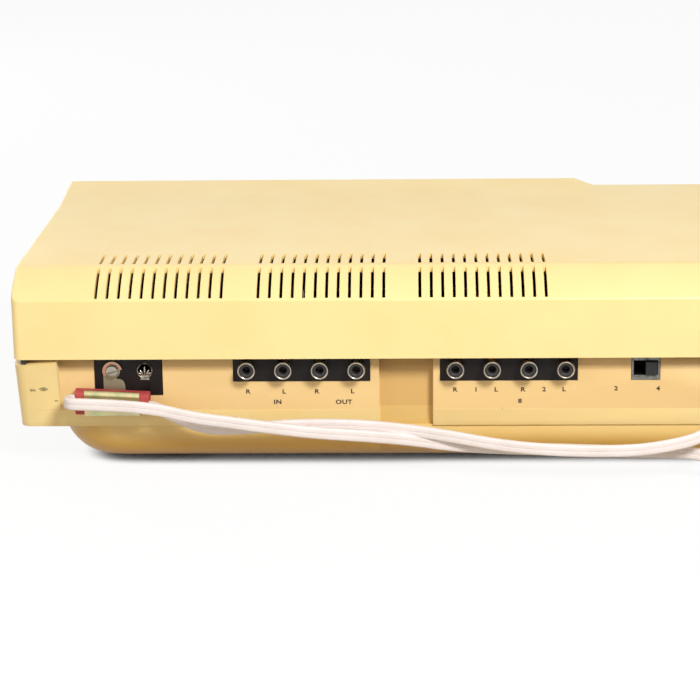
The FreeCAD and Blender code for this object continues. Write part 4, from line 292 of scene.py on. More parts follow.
def mottle(tree, shader, other, patch, rough=None, bump=0, grain=1.0, amount=0.5):
    """Drift towards another colour in patches, vary the roughness, and add a fine surface grain.

    patch and grain are in millimetres; bump is the height of the grain in millimetres.
    """
    where = add(tree, "ShaderNodeTexCoord").outputs["Object"]
    cloud = add(tree, "ShaderNodeTexNoise", Vector=where, Scale=1 / (patch * MM), Detail=4,
                Roughness=0.6)
    shade_by(tree, shader, cloud.outputs["Fac"], 0.35, 0.7, other, amount)
    fine = add(tree, "ShaderNodeTexNoise", Vector=where, Scale=1 / (grain * MM), Detail=3,
               Roughness=0.55)
    if rough:
        spread = add(tree, "ShaderNodeMapRange", Value=cloud.outputs["Fac"], _1=0.3, _2=0.7,
                     _3=rough[0], _4=rough[1])
        tree.links.new(spread.outputs[0], shader.inputs["Roughness"])
    if bump:
        skin = add(tree, "ShaderNodeBump", Strength=1.0, Distance=bump * MM,
                   Height=fine.outputs["Fac"])
        tree.links.new(skin.outputs[0], shader.inputs["Normal"])
    return where


def mottled(name, colour, roughness, other, patch, rough=None, bump=0, grain=1.0, amount=0.5,
            **sockets):
    """A finished material with its mottle, where nothing else is added to its tree."""
    material, tree, shader = finish(name, colour, roughness, **sockets)
    mottle(tree, shader, other, patch, rough, bump, grain, amount)
    return material


# Plasticised vinyl, extruded: off white, softly glossy, with a faint drift where hands soiled it.
cord_vinyl = mottled("cord_vinyl", "#F0E6E3", 0.45, "#E0D2CB", 14, (0.38, 0.52), 0.02, 0.8, 0.5)
cord = made("flat_cord", sweep(line, [section] * len(line), Vector((0, 0, 1))), cord_vinyl,
            "chassis", 42)
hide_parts("line_cord", "line_cord_coil")

# Moulded plug of the same vinyl, lofted from the cord's section to its flat face, with finger ribs.
squareness = 0.45
round_plug = [(math.cos(2 * math.pi * step / 40), math.sin(2 * math.pi * step / 40))
              for step in range(40)]
plug_body = []
for run, half, thick in ((0, 3.3, 2.2), (1, 3.7, 2.5), (3, 3.9, 2.7), (3.3, 3.5, 2.3),
                         (4.6, 3.6, 2.4), (4.9, 4.3, 3.0), (6.8, 4.6, 3.2), (7.1, 4.1, 2.8),
                         (8.4, 4.3, 2.9), (8.7, 5.2, 3.6), (11.5, 6.2, 4.1), (14.5, 7.3, 4.6),
                         (17.5, 7.85, 4.85), (22.8, 7.9, 4.9), (23.6, 7.7, 4.7), (24, 7.2, 4.2)):
    outline = [(math.copysign(abs(across) ** squareness, across) * half * MM,
                math.copysign(abs(up) ** squareness, up) * thick * MM) for across, up in round_plug]
    spot = Vector(((plug_start - run) * MM, rear + plug_out * MM, plug_up * MM))
    plug_body.append((spot, outline))
plug_shape = sweep(*zip(*plug_body), Vector((0, 1, 0)))
plug = made("cord_plug", plug_shape, cord_vinyl, "chassis", 50)


def cut_sheet(name, outline, holes, thick):
    """A flat plate with holes, from 2D outlines in millimetres, standing on z 0."""
    flat = bpy.data.curves.new(name, "CURVE")
    flat.dimensions, flat.fill_mode, flat.extrude = "2D", "BOTH", thick / 2 * MM
    for corners in (outline, *holes):
        edge = flat.splines.new("POLY")
        edge.points.add(len(corners) - 1)
        for point, (x, y) in zip(edge.points, corners):
            point.co = (x * MM, y * MM, 0, 1)
        edge.use_cyclic_u = True
    mesh = meshed(name, flat)
    shape = bmesh.new()
    shape.from_mesh(mesh)
    bpy.data.meshes.remove(mesh)
    bmesh.ops.remove_doubles(shape, verts=shape.verts, dist=0.00001)
    bmesh.ops.recalc_face_normals(shape, faces=shape.faces)
    return shape


def onto(shape, matrix):
    """The shape itself, moved."""
    shape.transform(matrix)
    return shape


def joined(*shapes):
    """Several bmeshes as one."""
    whole = bmesh.new()
    for shape in shapes:
        spare = bpy.data.meshes.new("spare")
        shape.to_mesh(spare)
        shape.free()
        whole.from_mesh(spare)
        bpy.data.meshes.remove(spare)
    return whole


def ring_of(radius, count, x=0):
    """Points round a circle on the x axis."""
    return [(x + radius * math.cos(2 * math.pi * step / count),
             radius * math.sin(2 * math.pi * step / count)) for step in range(count)]


# Pins of rolled brass, nickel plated, with the hole that the socket's spring drops into.
pin_nickel = mottled("pin_nickel", "#C9C6BE", 0.22,
                     "#A8A294", 3, (0.18, 0.34), 0.01, 0.3, 0.4, Metallic=1.0)
blade = [(0, -3), (14.5, -3), (16, -2), (16, 2), (14.5, 3), (0, 3)]
plug_long, pin_half = 23.7, 6.4
pins = []
for side in (-1, 1):
    root = ((plug_start - plug_long) * MM, rear + (plug_out + side * pin_half) * MM, plug_up * MM)
    pins.append(onto(cut_sheet("pin", blade, [ring_of(1.5, 16, 12.2)], 1.5),
                     Matrix.Translation(root) @ Matrix.Rotation(math.pi, 4, "Z")
                     @ Matrix.Rotation(math.pi / 2, 4, "X")))
plug_pins = made("plug_pins", joined(*pins), pin_nickel, "chassis", 30)
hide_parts("line_cord_plug")

# A paper covered wire tie holds the ring together.
tie_paper = mottled("tie_paper", "#E9E4D2", 0.85, "#C9BFA2", 6, (0.75, 0.95), 0.05, 0.5, 0.5)
loop = [(24.4, 1.0), (24.4, 11.4), (25.4, 12.4), (29, 12.8), (30.6, 14.3), (31.4, 12.8),
        (35.6, 12.4), (37, 11.4), (37.1, 1.0), (36.2, 0.2), (25.3, 0.2), (24.4, 1.0)]
around = [Vector((ring_x * MM, rear + (ring_out + reach) * MM, up * MM)) for reach, up in loop]
tie_wide, tie_thick = 4 * MM, 0.3 * MM
strip = [(x * tie_wide / 2, y * tie_thick / 2) for x, y in ((-1, -1), (1, -1), (1, 1), (-1, 1))]
tie = made("cord_tie", sweep(around, [strip] * len(around), Vector((1, 0, 0))), tie_paper,
           "chassis", 30)

# ---------------------------------------------------------------- housing: base tray and top shell
# Two injection mouldings in yellow ABS: a tray with a round bottomed belly and a leaning rear wall,
# and a vented top shell with a soft ridge. Four screws through the base pull them together.


def flatten(piece):
    """Shade a piece's large faces flat up to their edges."""
    flats = piece.modifiers.new("flat faces", "WEIGHTED_NORMAL")
    flats.keep_sharp, flats.weight = True, 100


def merged(node):
    """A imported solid's loose triangles as one shape."""
    shape = bmesh.new()
    shape.from_mesh(nodes[node].data)
    bmesh.ops.remove_doubles(shape, verts=shape.verts, dist=0.000004)
    return shape


def dress(node, material, body="chassis", *, smooth=35, bevel=0, flat=False):
    """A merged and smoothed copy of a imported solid, with a fine bevel in millimetres, in its place.

    flat, and any bevel, first joins the triangles of each flat face into one.
    """
    shape = merged(node)
    if bevel or flat:
        bmesh.ops.dissolve_limit(shape, angle_limit=math.radians(0.6), verts=shape.verts,
                                 edges=shape.edges)
    piece = made(node + "_finished", shape, material, body, smooth)
    if bevel:
        edge = piece.modifiers.new("soft edges", "BEVEL")
        edge.width, edge.segments, edge.limit_method = bevel * MM, 2, "ANGLE"
        edge.angle_limit = math.radians(40)
        edge.harden_normals = True
    else:
        flatten(piece)
    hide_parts(node)
    return piece


# Injection moulded ABS, aged: semi gloss, a little deeper in patches, with a few grey scuffs where
# the case was handled. Its spark eroded grain is about 0.5 mm. Towards the bottom its colour is
# painted browner, as painted shade where the belly turns under.
shell_abs, tree, shader = finish("aged_abs_painted_shade", "#FBE29F", 0.36, Specular_IOR_Level=0.5)
where = mottle(tree, shader, "#F6D188", 45, (0.33, 0.42), 0.012, 0.5, 0.4)
parts = add(tree, "ShaderNodeSeparateXYZ", Vector=where)
# Painted shade: browner and darker from 24 mm down to 6 mm above the table.
shade_by(tree, shader, parts.outputs["Z"], 24 * MM, 6 * MM, "#C08A16", 0.92)


def outside_of(tree, parts, *walls):
    """How far outside a box a point lies, below 0 inside; a wall is (axis, centre, half width)."""
    worst = None
    for axis, centre, half in walls:
        off = add(tree, "ShaderNodeMath", {"operation": "SUBTRACT"}, _0=parts.outputs[axis],
                  _1=centre * MM)
        off = add(tree, "ShaderNodeMath", {"operation": "ABSOLUTE"}, _0=off.outputs[0])
        off = add(tree, "ShaderNodeMath", {"operation": "SUBTRACT"}, _0=off.outputs[0],
                  _1=half * MM)
        if worst is not None:
            off = add(tree, "ShaderNodeMath", {"operation": "MAXIMUM"}, _0=worst.outputs[0],
                      _1=off.outputs[0])
        worst = off
    return worst.outputs[0]


# Painted shade: the plastic is painted deeper in the panels' recess and on the lower belly, and
# deepest as a painted shadow under the shell's edge and in the notch between the panels. Each row is
# a box's X, its half depth, its Z, where the tint starts and where it is full, its colour and its
# share.
deep, recess_deep = rear / MM - 30, 21.8
for across, inward, upward, start, full, colour, most in (
        ((0, 172), recess_deep, (42, 12.5), 0, -0.3, "#E2BA80", 0.65),
        ((0, 170), 18, (8, 14), 0, -2, "#D9A63C", 0.6),
        ((0, 166), recess_deep, (54, 5.6), 0.3, -1.2, "#B98A3C", 0.5),
        ((0.8, 13), 17, (30, 24.5), 0, -1.5, "#BE8F38", 0.7)):
    apart = outside_of(tree, parts, ("X", *across), ("Y", deep, inward), ("Z", *upward))
    shade_by(tree, shader, apart, start * MM, full * MM, colour, most)
scratch = add(tree, "ShaderNodeTexNoise", Vector=where, Scale=1 / (1.1 * MM), Detail=3,
              Roughness=0.7)
for x, z, reach in ((167.4, 41.0, 4.2), (172.4, 40.4, 3.2), (161.8, 34.6, 2.8), (161.6, 31.6, 2.6),
                    (164.5, 27.4, 2.4), (-20.6, 33.4, 2.2), (-43.5, 30.0, 3.4), (-140.5, 47, 2.2)):
    centre = add(tree, "ShaderNodeCombineXYZ", X=x * MM, Y=rear - 3 * MM, Z=z * MM)
    apart = add(tree, "ShaderNodeVectorMath", {"operation": "SUBTRACT"}, _0=where,
                _1=centre.outputs[0])
    flat = add(tree, "ShaderNodeVectorMath", {"operation": "MULTIPLY"}, _0=apart.outputs[0],
               _1=(1, 0.3, 1.9))
    far = add(tree, "ShaderNodeVectorMath", {"operation": "LENGTH"}, _0=flat.outputs[0])
    edge = add(tree, "ShaderNodeMapRange", Value=far.outputs["Value"], _1=reach * MM,
               _2=0.2 * reach * MM, _3=-0.25, _4=0.35)
    mark = add(tree, "ShaderNodeMath", {"operation": "ADD"}, _0=edge.outputs[0],
               _1=scratch.outputs["Fac"])
    shade_by(tree, shader, mark.outputs[0], 0.62, 0.74, "#6E5F42", 0.75)
dress("top_shell", shell_abs, smooth=30, flat=True)
base_tray = dress("base_tray", shell_abs, smooth=30, flat=True)
# The belly's ends run out under the wing, most at their top, and its rear bottom edge is raised.
# The rear's end blocks are lowered, which opens the parting gap over them. The panels end in a
# crisp fold above the slope.
flare_from, flare_to, flare_run, belly_top = 120, 158, 36, 21.5
keel_up, keel_y, block_from, block_up, panel_in, fold_up = 4, 88, 163, 54, 8.5, 29.5
for vertex in base_tray.data.vertices:
    aside, up = abs(vertex.co.x) / MM, vertex.co.z / MM
    if flare_from < aside < flare_to and up < belly_top:
        flare = 4.6 + 2.8 * max(0, (up - 9) / 12) + 5.5 * max(0, up - 20)
        vertex.co.x += math.copysign((aside - flare_from) / flare_run * flare * MM, vertex.co.x)
    if up < keel_up and vertex.co.y / MM > keel_y:
        vertex.co.z += 1.1 * MM
    if up > block_up and aside > block_from and rear - vertex.co.y < (panel_in + 0.5) * MM:
        vertex.co.z -= 1.0 * MM
for edge in base_tray.data.edges:
    ends = [base_tray.data.vertices[corner].co for corner in edge.vertices]
    if all(abs(end.z / MM - fold_up) < 0.2 and abs((rear - end.y) / MM - panel_in) < 0.2
           for end in ends):
        edge.use_edge_sharp = True

# ---------------------------------------------------------------- feet, bumpers and case screws
# Moulded rubber feet with a dished sole on the belly, rubber strips in the parting gap, and zinc
# plated cross head screws that hold the case together from below.


def turned(profile, sides):
    """A solid of revolution about +Z from (radius, height) pairs in millimetres, bottom to top."""
    shape = bmesh.new()
    rings = []
    for radius, height in profile:
        if radius <= 0:
            rings.append([shape.verts.new((0, 0, height * MM))])
        else:
            rings.append([shape.verts.new((x * MM, y * MM, height * MM))
                          for x, y in ring_of(radius, sides)])
    for one, two in zip(rings, rings[1:]):
        for side in range(sides):
            corners = [one[side % len(one)], one[(side + 1) % len(one)],
                       two[(side + 1) % len(two)], two[side % len(two)]]
            corners = list(dict.fromkeys(corners))
            if len(corners) > 2:
                shape.faces.new(corners)
    for ring in (rings[0], rings[-1]):
        if len(ring) > 1:
            shape.faces.new(ring)
    bmesh.ops.recalc_face_normals(shape, faces=shape.faces)
    return shape


def repeated(name, shape, tree, values, material, body, smooth, place):
    """Run a Geometry Nodes tree on a shape, and keep what it makes as one plain mesh."""
    mesh = bpy.data.meshes.new(name)
    shape.to_mesh(mesh)
    shape.free()
    source = bpy.data.objects.new(name, mesh)
    bench.objects.link(source)
    repeat = source.modifiers.new("repeat", "NODES")
    repeat.node_group = tree
    for socket, value in values:
        repeat[socket.identifier] = value
    bpy.context.view_layer.update()
    evaluated = source.evaluated_get(bpy.context.evaluated_depsgraph_get())
    plain = bpy.data.meshes.new_from_object(evaluated)
    bpy.data.objects.remove(source)
    whole = bmesh.new()
    whole.from_mesh(plain)
    bpy.data.meshes.remove(plain)
    if place:
        whole.transform(place)
    return made(name, whole, material, body, smooth)


def tree_of(name, *inputs):
    """A new Geometry Nodes tree: a shape and the other inputs go in, and geometry comes out."""
    tree = bpy.data.node_groups.new(name, "GeometryNodeTree")
    sockets = [tree.interface.new_socket(label, in_out="INPUT", socket_type="NodeSocket" + kind)
               for label, kind in (("Shape", "Geometry"), *inputs)]
    tree.interface.new_socket("Result", in_out="OUTPUT", socket_type="NodeSocketGeometry")
    return tree, sockets[1:], add(tree, "NodeGroupInput").outputs


def close(tree, points, shape, turn, material):
    """Put the shape on every point, make it real and paint it."""
    placed = add(tree, "GeometryNodeInstanceOnPoints", Points=points, Instance=shape, Rotation=turn)
    solid = add(tree, "GeometryNodeRealizeInstances", Geometry=placed.outputs[0])
    painted = add(tree, "GeometryNodeSetMaterial", Geometry=solid.outputs[0], Material=material)
    add(tree, "NodeGroupOutput", Result=painted.outputs[0])


def rows(name, shape, lines, material, body="chassis", *, turn=(0, 0, 0), place=None):
    """Repeat a shape along straight rows; each row is (first place, step, count) in millimetres."""
    labels = [(f"Row {number} {what}", kind) for number in range(1, len(lines) + 1)
              for what, kind in (("first", "Vector"), ("step", "Vector"), ("count", "Int"))]
    tree, sockets, inputs = tree_of(name + "_rows", *labels)
    joint = add(tree, "GeometryNodeJoinGeometry")
    for number in range(1, len(lines) + 1):
        points = add(tree, "GeometryNodeMeshLine", Count=inputs[f"Row {number} count"],
                     Start_Location=inputs[f"Row {number} first"],
                     Offset=inputs[f"Row {number} step"])
        tree.links.new(points.outputs[0], joint.inputs[0])
    close(tree, joint.outputs[0], inputs["Shape"], turn, material)
    values = [value for first, step, count in lines
              for value in (Vector(first) * MM, Vector(step) * MM, count)]
    return repeated(name, shape, tree, zip(sockets, values), material, body, 35, place)


# Moulded natural rubber, matt and slightly bloomed.
foot_rubber = mottled("foot_rubber", "#1B1A19", 0.75, "#3A3835", 5, (0.65, 0.9), 0.04, 0.4, 0.6)
foot_low, foot_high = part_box("rubber_feet")
foot_half = 8
foot_x = foot_high.x / MM - foot_half
foot_y = (foot_low.y / MM + foot_half, foot_high.y / MM - foot_half)
sole = [(0, 0.7), (3.2, 0.7), (3.6, 0.1), (6.9, 0), (7.7, 0.2), (8.0, 0.6), (7.9, 4.2), (0, 4.2)]
feet = rows("feet", turned(sole, 40), [((-foot_x, y, 0), (2 * foot_x, 0, 0), 2) for y in foot_y],
            foot_rubber)
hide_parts("rubber_feet")
bumpers = dress("gap_bumpers", foot_rubber)
# The strips bulge a little below the gap.
for vertex in bumpers.data.vertices:
    if vertex.co.z < 55 * MM:
        vertex.co.z -= 0.4 * MM

# Bright zinc plate on cold headed steel: pale grey, faintly blue, softly mirrored.
zinc = mottled("zinc_plate", "#BDBFBE", 0.32,
               "#8F918F", 4, (0.26, 0.46), 0.006, 0.25, 0.5, Metallic=1.0)
dress("case_screws", zinc)

# ---------------------------------------------------------------- antenna board
# Black phenolic board, flush in the first panel. A slotted screw holds the coupler's tab and a
# copper hook lug. Beside it is an empty eyelet, whose shank is split and spread in a cupped rim.

# Paper phenolic, pressed: near black, satin, with the weave of its paper just felt.
phenolic = mottled("black_phenolic", "#120C0A", 0.46,
                   "#1E1512", 9, (0.38, 0.58), 0.01, 0.35, 0.6, Specular_IOR_Level=0.25)
dress("antenna_board", phenolic, bevel=0.15)

board_out = (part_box("antenna_board")[1].y - rear) / MM
left_x, right_x, screw_up = 135.8, 120.9, 48.6


def outward(x, out, up, turn=0):
    """Turn +Z to the rear's +Y, at a place given across, out from the rear band, and up."""
    return (Matrix.Translation((x * MM, rear + out * MM, up * MM)) @ Matrix.Rotation(turn, 4, "Y")
            @ Matrix.Rotation(-math.pi / 2, 4, "X"))


def slotted_head(radius, tall, slot_half, slot_deep):
    """A cheese head: a disc with two raised halves, rounded outside, and a slot between."""
    low = tall - slot_deep
    shapes = [turned([(0, 0), (radius, 0), (radius, low), (0, low)], 40)]
    lean_in = math.asin(slot_half / radius)
    arc = [lean_in + (math.pi - 2 * lean_in) * step / 20 for step in range(21)]
    for side in (1, -1):
        shape = bmesh.new()
        levels = []
        for scale, height in ((1, low), (1, tall - 0.35), (0.93, tall - 0.1), (0.8, tall)):
            ring = []
            for turn in arc:
                x = radius * scale * math.cos(turn)
                y = max(slot_half, radius * scale * math.sin(turn))
                ring.append(shape.verts.new((x * MM * side, y * MM * side, height * MM)))
            levels.append(ring)
        for one, two in zip(levels, levels[1:]):
            for corner in range(len(one)):
                shape.faces.new((one[corner], one[(corner + 1) % len(one)],
                                 two[(corner + 1) % len(two)], two[corner]))
        shape.faces.new(levels[0])
        shape.faces.new(levels[-1])
        bmesh.ops.remove_doubles(shape, verts=shape.verts, dist=0.00001)
        bmesh.ops.recalc_face_normals(shape, faces=shape.faces)
        shapes.append(shape)
    return joined(*shapes)


# Nickel plate on brass, dulled by handling.
nickel = mottled("dull_nickel", "#B9B2A5", 0.25,
                 "#82796A", 2.5, (0.18, 0.38), 0.006, 0.2, 0.5, Metallic=1.0)
shank = [(0, -6), (1.6, -6), (1.6, 0), (0, 0)]
cup = [(3.0, 0), (3.65, 0), (3.7, 0.5), (3.45, 0.85), (3.15, 0.6), (3.0, 0)]
tail = [(-2.1, 4.4), (2.1, 4.4), (1.7, 2.2), (-1.7, 2.2)]
petals = []
for lean, aside, drop, tall in ((0, 0, 0, 2.5), (0.42, 1.35, 0.75, 1.75),
                                (-0.42, -1.35, 0.75, 1.75), (0.9, 2.2, 1.2, 1.0),
                                (-0.9, -2.2, 1.2, 1.0)):
    petal = bmesh.new()
    bmesh.ops.create_uvsphere(petal, u_segments=14, v_segments=8, radius=1)
    petals.append(onto(petal, Matrix.Translation((aside * MM, drop * MM, 0.5 * MM))
                       @ Matrix.Rotation(lean, 4, "Z")
                       @ Matrix.Diagonal((0.5 * MM, tall * MM, 0.8 * MM, 1))))
screws = joined(
    onto(joined(slotted_head(2.9, 2.2, 0.33, 1.2), turned(shank, 24)),
         outward(left_x, board_out + 0.8, screw_up, math.radians(17))),
    onto(joined(turned(shank, 24), turned(cup, 48), cut_sheet("tail", tail, [], 0.5), *petals),
         outward(right_x, board_out, screw_up)))
terminals = made("terminal_screws", screws, nickel, "chassis", 35)
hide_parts("antenna_screws")

# Tinned copper hook lug: punched sheet, pinkish where the tin has worn.
copper = mottled("worn_copper", "#C98F72", 0.3,
                 "#B9A894", 3, (0.24, 0.5), 0.01, 0.3, 0.7, Metallic=1.0)
hook_arc = [math.radians(38 - 11 * step) for step in range(20)]
hook_outer, hook_inner = 4.5, 3.3
hook = [(hook_outer * math.cos(turn), hook_outer * math.sin(turn)) for turn in hook_arc]
hook += [(hook_inner * math.cos(turn), hook_inner * math.sin(turn)) for turn in reversed(hook_arc)]
made("hook_lug",
     onto(cut_sheet("hook", hook, [], 0.35), outward(left_x, board_out + 0.95, screw_up)),
     copper, "chassis", 30)

# ---------------------------------------------------------------- cord coupler
# The cord serves as antenna: a strip of chromated steel is bent round a liner of red fibre, with
# the cord inside, and it hangs by a tab from the left terminal screw.

# Yellow chromate over zinc: silvery yellow with green drifts where the film's thickness changes.
chromate, tree, shader = finish("yellow_chromate", "#D6CB98", 0.27, Metallic=1.0)
mottle(tree, shader, "#9FB77E", 5, (0.22, 0.4), 0.01, 0.3, 0.85)
mottle(tree, shader, "#D3A58E", 8, (0.22, 0.4), 0.01, 0.3, 0.35)
# Vulcanised fibre: brick red, matt, fuzzy at its cut ends.
fibre = mottled("red_fibre", "#C04C4A", 0.62, "#9C3632", 4, (0.55, 0.75), 0.05, 0.4, 0.6)
sleeve = dress("coupler_sleeve", chromate, smooth=30)
liner = dress("coupler_liner", fibre, bevel=0.2)
# The sleeve leaves the liner's top free, and both hang a little askew from the tab.
shape = bmesh.new()
shape.from_mesh(sleeve.data)
bmesh.ops.bisect_plane(shape, geom=[*shape.verts, *shape.edges, *shape.faces], dist=0.000001,
                       plane_co=(0, rear + 0.1 * MM, 40.2 * MM), plane_no=(0, -0.7, 0.7),
                       clear_outer=True)
bmesh.ops.holes_fill(shape, edges=[edge for edge in shape.edges if edge.is_boundary], sides=0)
bmesh.ops.recalc_face_normals(shape, faces=shape.faces)
shape.to_mesh(sleeve.data)
shape.free()
sleeve_middle, sleeve_foot, sleeve_rise = 134.8, 30, 7
for piece in (sleeve, liner):
    for vertex in piece.data.vertices:
        share = min(1, max(0, (vertex.co.z / MM - sleeve_foot) / sleeve_rise))
        vertex.co.z += share * (1.15 * MM + 0.05 * (vertex.co.x - sleeve_middle * MM))
        vertex.co.x += 0.6 * MM
# The tab, punched from the same strip as the sleeve, round the screw at its origin.
eye = [math.radians(120 + 15 * step) for step in range(15)]
tab = [(4.2, -0.4), (4.2, 11), (-5.8, 11), (-5.75, 7.2), (-5.45, 5.8), (-4.8, 4.7), (-3.9, 4.1),
       (-3.0, 3.85), (-1.9, 3.8)] + [(3.6 * math.cos(turn), 3.6 * math.sin(turn)) for turn in eye]
# Its film has worn off to rubbed steel: dull olive grey.
rubbed_steel = mottled("rubbed_steel", "#A9A387", 0.48,
                       "#7E795F", 3, (0.42, 0.56), 0.004, 0.3, 0.5, Metallic=0.85)
tab_plate = made("coupler_tab",
                 onto(cut_sheet("tab", tab, [], 0.6), outward(left_x, board_out + 0.4, screw_up)),
                 rubbed_steel, "chassis", 30)
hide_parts("coupler_sleeve")

# ---------------------------------------------------------------- phono sockets
# Two boards of black phenolic with four phono sockets each. A socket is a drawn shell, nickel
# plated, rolled in at its mouth, round a moulded insulator with the hole for the plug's pin.

dress("jack_boards", phenolic, bevel=0.15)
board_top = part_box("jack_boards")[1].z / MM
socket_up, socket_pitch = board_top - 4.4, 16.7
socket_rows = [((middle - 1.5 * socket_pitch, rear / MM - panel_in, socket_up),
                (socket_pitch, 0, 0), 4) for middle in (48.6, -46.7)]
shell = [(3.0, -1.5), (3.9, -1.5), (3.9, 0), (4.15, 0.1), (4.15, 7.1), (4.08, 7.6), (3.85, 7.92),
         (3.6, 8.0), (3.38, 7.85), (3.3, 7.5), (3.3, 5.9), (3.0, 5.9), (3.0, -1.5)]
core = [(0, -1.4), (3.1, -1.4), (3.1, 6.0), (3.28, 6.0), (3.28, 6.9), (2.3, 7.0), (1.95, 6.85),
        (1.72, 6.5), (1.7, 1.2), (0, 1.2)]
shells = rows("phono_shells", turned(shell, 48), socket_rows, nickel, turn=(-math.pi / 2, 0, 0))
# Dark melamine, moulded: grey black, matt.
melamine = mottled("socket_melamine", "#1F1B1A", 0.5, "#35302C", 2, (0.42, 0.62), 0.02, 0.3, 0.5)
cores = rows("phono_insulators", turned(core, 40), socket_rows, melamine, turn=(-math.pi / 2, 0, 0))
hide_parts("phono_jacks")
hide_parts("phono_jacks")

# ---------------------------------------------------------------- speaker switch
# Slide switch: a zinc plated face plate over a phenolic body, and a black moulded actuator that
# slides 5 mm between two groups of speakers.

# Old zinc plate: dull grey with pale bloom and dark specks.
old_zinc = mottled("tarnished_zinc", "#8E8D88", 0.5,
                   "#4C4A45", 2.2, (0.4, 0.7), 0.03, 0.35, 0.7, Metallic=0.85)
dress("speaker_switch_plate", old_zinc, bevel=0.2)
dress("speaker_switch_body", phenolic)
# Black acetal, moulded, with ridges for the finger.
acetal = mottled("black_acetal", "#121212", 0.4, "#262626", 4, (0.34, 0.5), 0.01, 0.4, 0.4)
dress("speaker_switch_slider", acetal, "speaker_slider", bevel=0.25)

# ---------------------------------------------------------------- strain relief
# Nylon bush snapped into the second panel where the cord leaves, with a grooved collar.

# Nylon 6, natural: milky white, satin.
nylon = mottled("natural_nylon", "#E4DFCF", 0.45,
                "#D2CAB2", 7, (0.4, 0.55), 0.01, 0.5, 0.5, Subsurface_Weight=0.1)
bush = [(2.9, 0), (7.6, 0), (7.6, 1.1), (7.1, 1.6), (5.6, 1.7), (5.55, 2.6), (4.7, 2.7), (4.7, 3.2),
        (5.4, 3.3), (5.2, 4.2), (4.4, 4.3), (4.4, 4.8), (5.0, 4.9), (4.8, 5.8), (4.3, 6.6),
        (3.6, 7.0), (2.9, 6.9), (2.9, 0)]
relief = made("cord_bush", onto(turned(bush, 48), outward(exit_x, -panel_in, exit_up)), nylon,
              "chassis", 40)
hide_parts("strain_relief")

# ---------------------------------------------------------------- marks on the rear
# Letters and numbers under the terminals and sockets, pad printed on the moulded panels in a dark
# brown ink that stands only a trace proud.

ink = mottled("brown_black_ink", "#221812", 0.6, "#3A2C1F", 1.5, (0.5, 0.7), 0.004, 0.2, 0.6)


def letters(name, marks, matrix, material):
    """Printed characters as one mesh; marks are (text, x, y, height), centred, in millimetres."""
    ink_thick, capital, wider = 0.05, 0.73, 1.2
    whole = bmesh.new()
    for text, x, y, tall in marks:
        face = bpy.data.curves.new(name, "FONT")
        face.body, face.size, face.extrude = text, tall * MM / capital, ink_thick * MM
        face.align_x, face.align_y, face.resolution_u = "CENTER", "CENTER", 3
        face.space_character, face.offset = 1.08, 0.04 * tall * MM
        mesh = meshed(name, face)
        mesh.transform(Matrix.Translation((x * MM, y * MM, 0)) @ Matrix.Diagonal((wider, 1, 1, 1)))
        whole.from_mesh(mesh)
        bpy.data.meshes.remove(mesh)
    whole.transform(matrix)
    return made(name, whole, material, "chassis", 30)


# The rear is read from behind: the letters' own x runs along -X and their face looks along +Y.
rear_face = (Matrix.Translation((0, rear - panel_in * MM, 0)) @ Matrix.Rotation(math.pi, 4, "Z")
             @ Matrix.Rotation(math.pi / 2, 4, "X"))
rear_marks = [("R", 73.6, 38.2), ("L", 57.0, 38.2), ("R", 41.9, 38.2), ("L", 25.5, 38.2),
              ("IN", 60.0, 33.2), ("OUT", 29.5, 33.1), ("R", -21.6, 38.8), ("1", -31.2, 38.8),
              ("L", -40.4, 38.8), ("R", -52.7, 38.8), ("2", -62.4, 38.8), ("L", -71.5, 38.8),
              ("8", -51.4, 33.3), ("2", -95.3, 39.1), ("4", -114.5, 39.0)]
mark_tall = 2.1
letters("rear_marks", [(text, -x, z, mark_tall) for text, x, z in rear_marks], rear_face, ink)

# ---------------------------------------------------------------- fascia
# One moulding of black brown ABS with a fine spark grain, screwed in behind the yellow rim, with a
# bright trim round its dial. The whole front leans back.

lean_back = math.radians(22)
top_deep, front_rise, front_foot, face_out = 198, 75, 21, -1.5
front_low = (rear - (top_deep + front_rise * math.tan(lean_back)) * MM) / MM


def fascia(x, up, out=0):
    """A place on the leaning front: across, up its slope, and out of it, where +Z points."""
    sideways, rise = Vector((1, 0, 0)), Vector((0, math.sin(lean_back), math.cos(lean_back)))
    outside = Vector((0, -math.cos(lean_back), math.sin(lean_back)))
    stance = Matrix((sideways, rise, outside)).transposed().to_4x4()
    stance.translation = (Vector((x, front_low, front_foot)) + rise * up + outside * out) * MM
    return stance


def slab(x, up, out, bevel=0):
    """A box between two places across, up and out, in millimetres, with its edges taken off."""
    shape = bmesh.new()
    bmesh.ops.create_cube(shape, size=1)
    for vertex in shape.verts:
        vertex.co = Vector([(low + high) / 2 * MM + side * (high - low) * MM
                            for side, (low, high) in zip(vertex.co, (x, up, out))])
    if bevel:
        bmesh.ops.bevel(shape, geom=shape.edges, offset=bevel * MM, segments=2, affect="EDGES",
                        profile=0.5)
    return shape


# Black brown ABS with a fine spark grain.
fascia_abs = mottled("fascia_abs", "#211A16", 0.42, "#2E2520", 30, (0.38, 0.5), 0.02, 0.45, 0.4)
dress("front_bezel", fascia_abs, smooth=25)

# Bright aluminium, extruded and brushed lengthwise: the grain is 0.1 mm across and 12 mm long.
brushed, tree, shader = finish("brushed_aluminium", "#C8C9C8", 0.3, Metallic=1.0)
where = add(tree, "ShaderNodeTexCoord").outputs["Object"]
long_way = add(tree, "ShaderNodeVectorMath", {"operation": "MULTIPLY"}, _0=where, _1=(0.01, 1, 1))
brush = add(tree, "ShaderNodeTexNoise", Vector=long_way.outputs[0], Scale=1 / (0.12 * MM), Detail=3)
spread = add(tree, "ShaderNodeMapRange", Value=brush.outputs["Fac"], _1=0.3, _2=0.7, _3=0.22,
             _4=0.4)
tree.links.new(spread.outputs[0], shader.inputs["Roughness"])
hair = add(tree, "ShaderNodeBump", Strength=0.5, Distance=0.004 * MM, Height=brush.outputs["Fac"])
tree.links.new(hair.outputs[0], shader.inputs["Normal"])


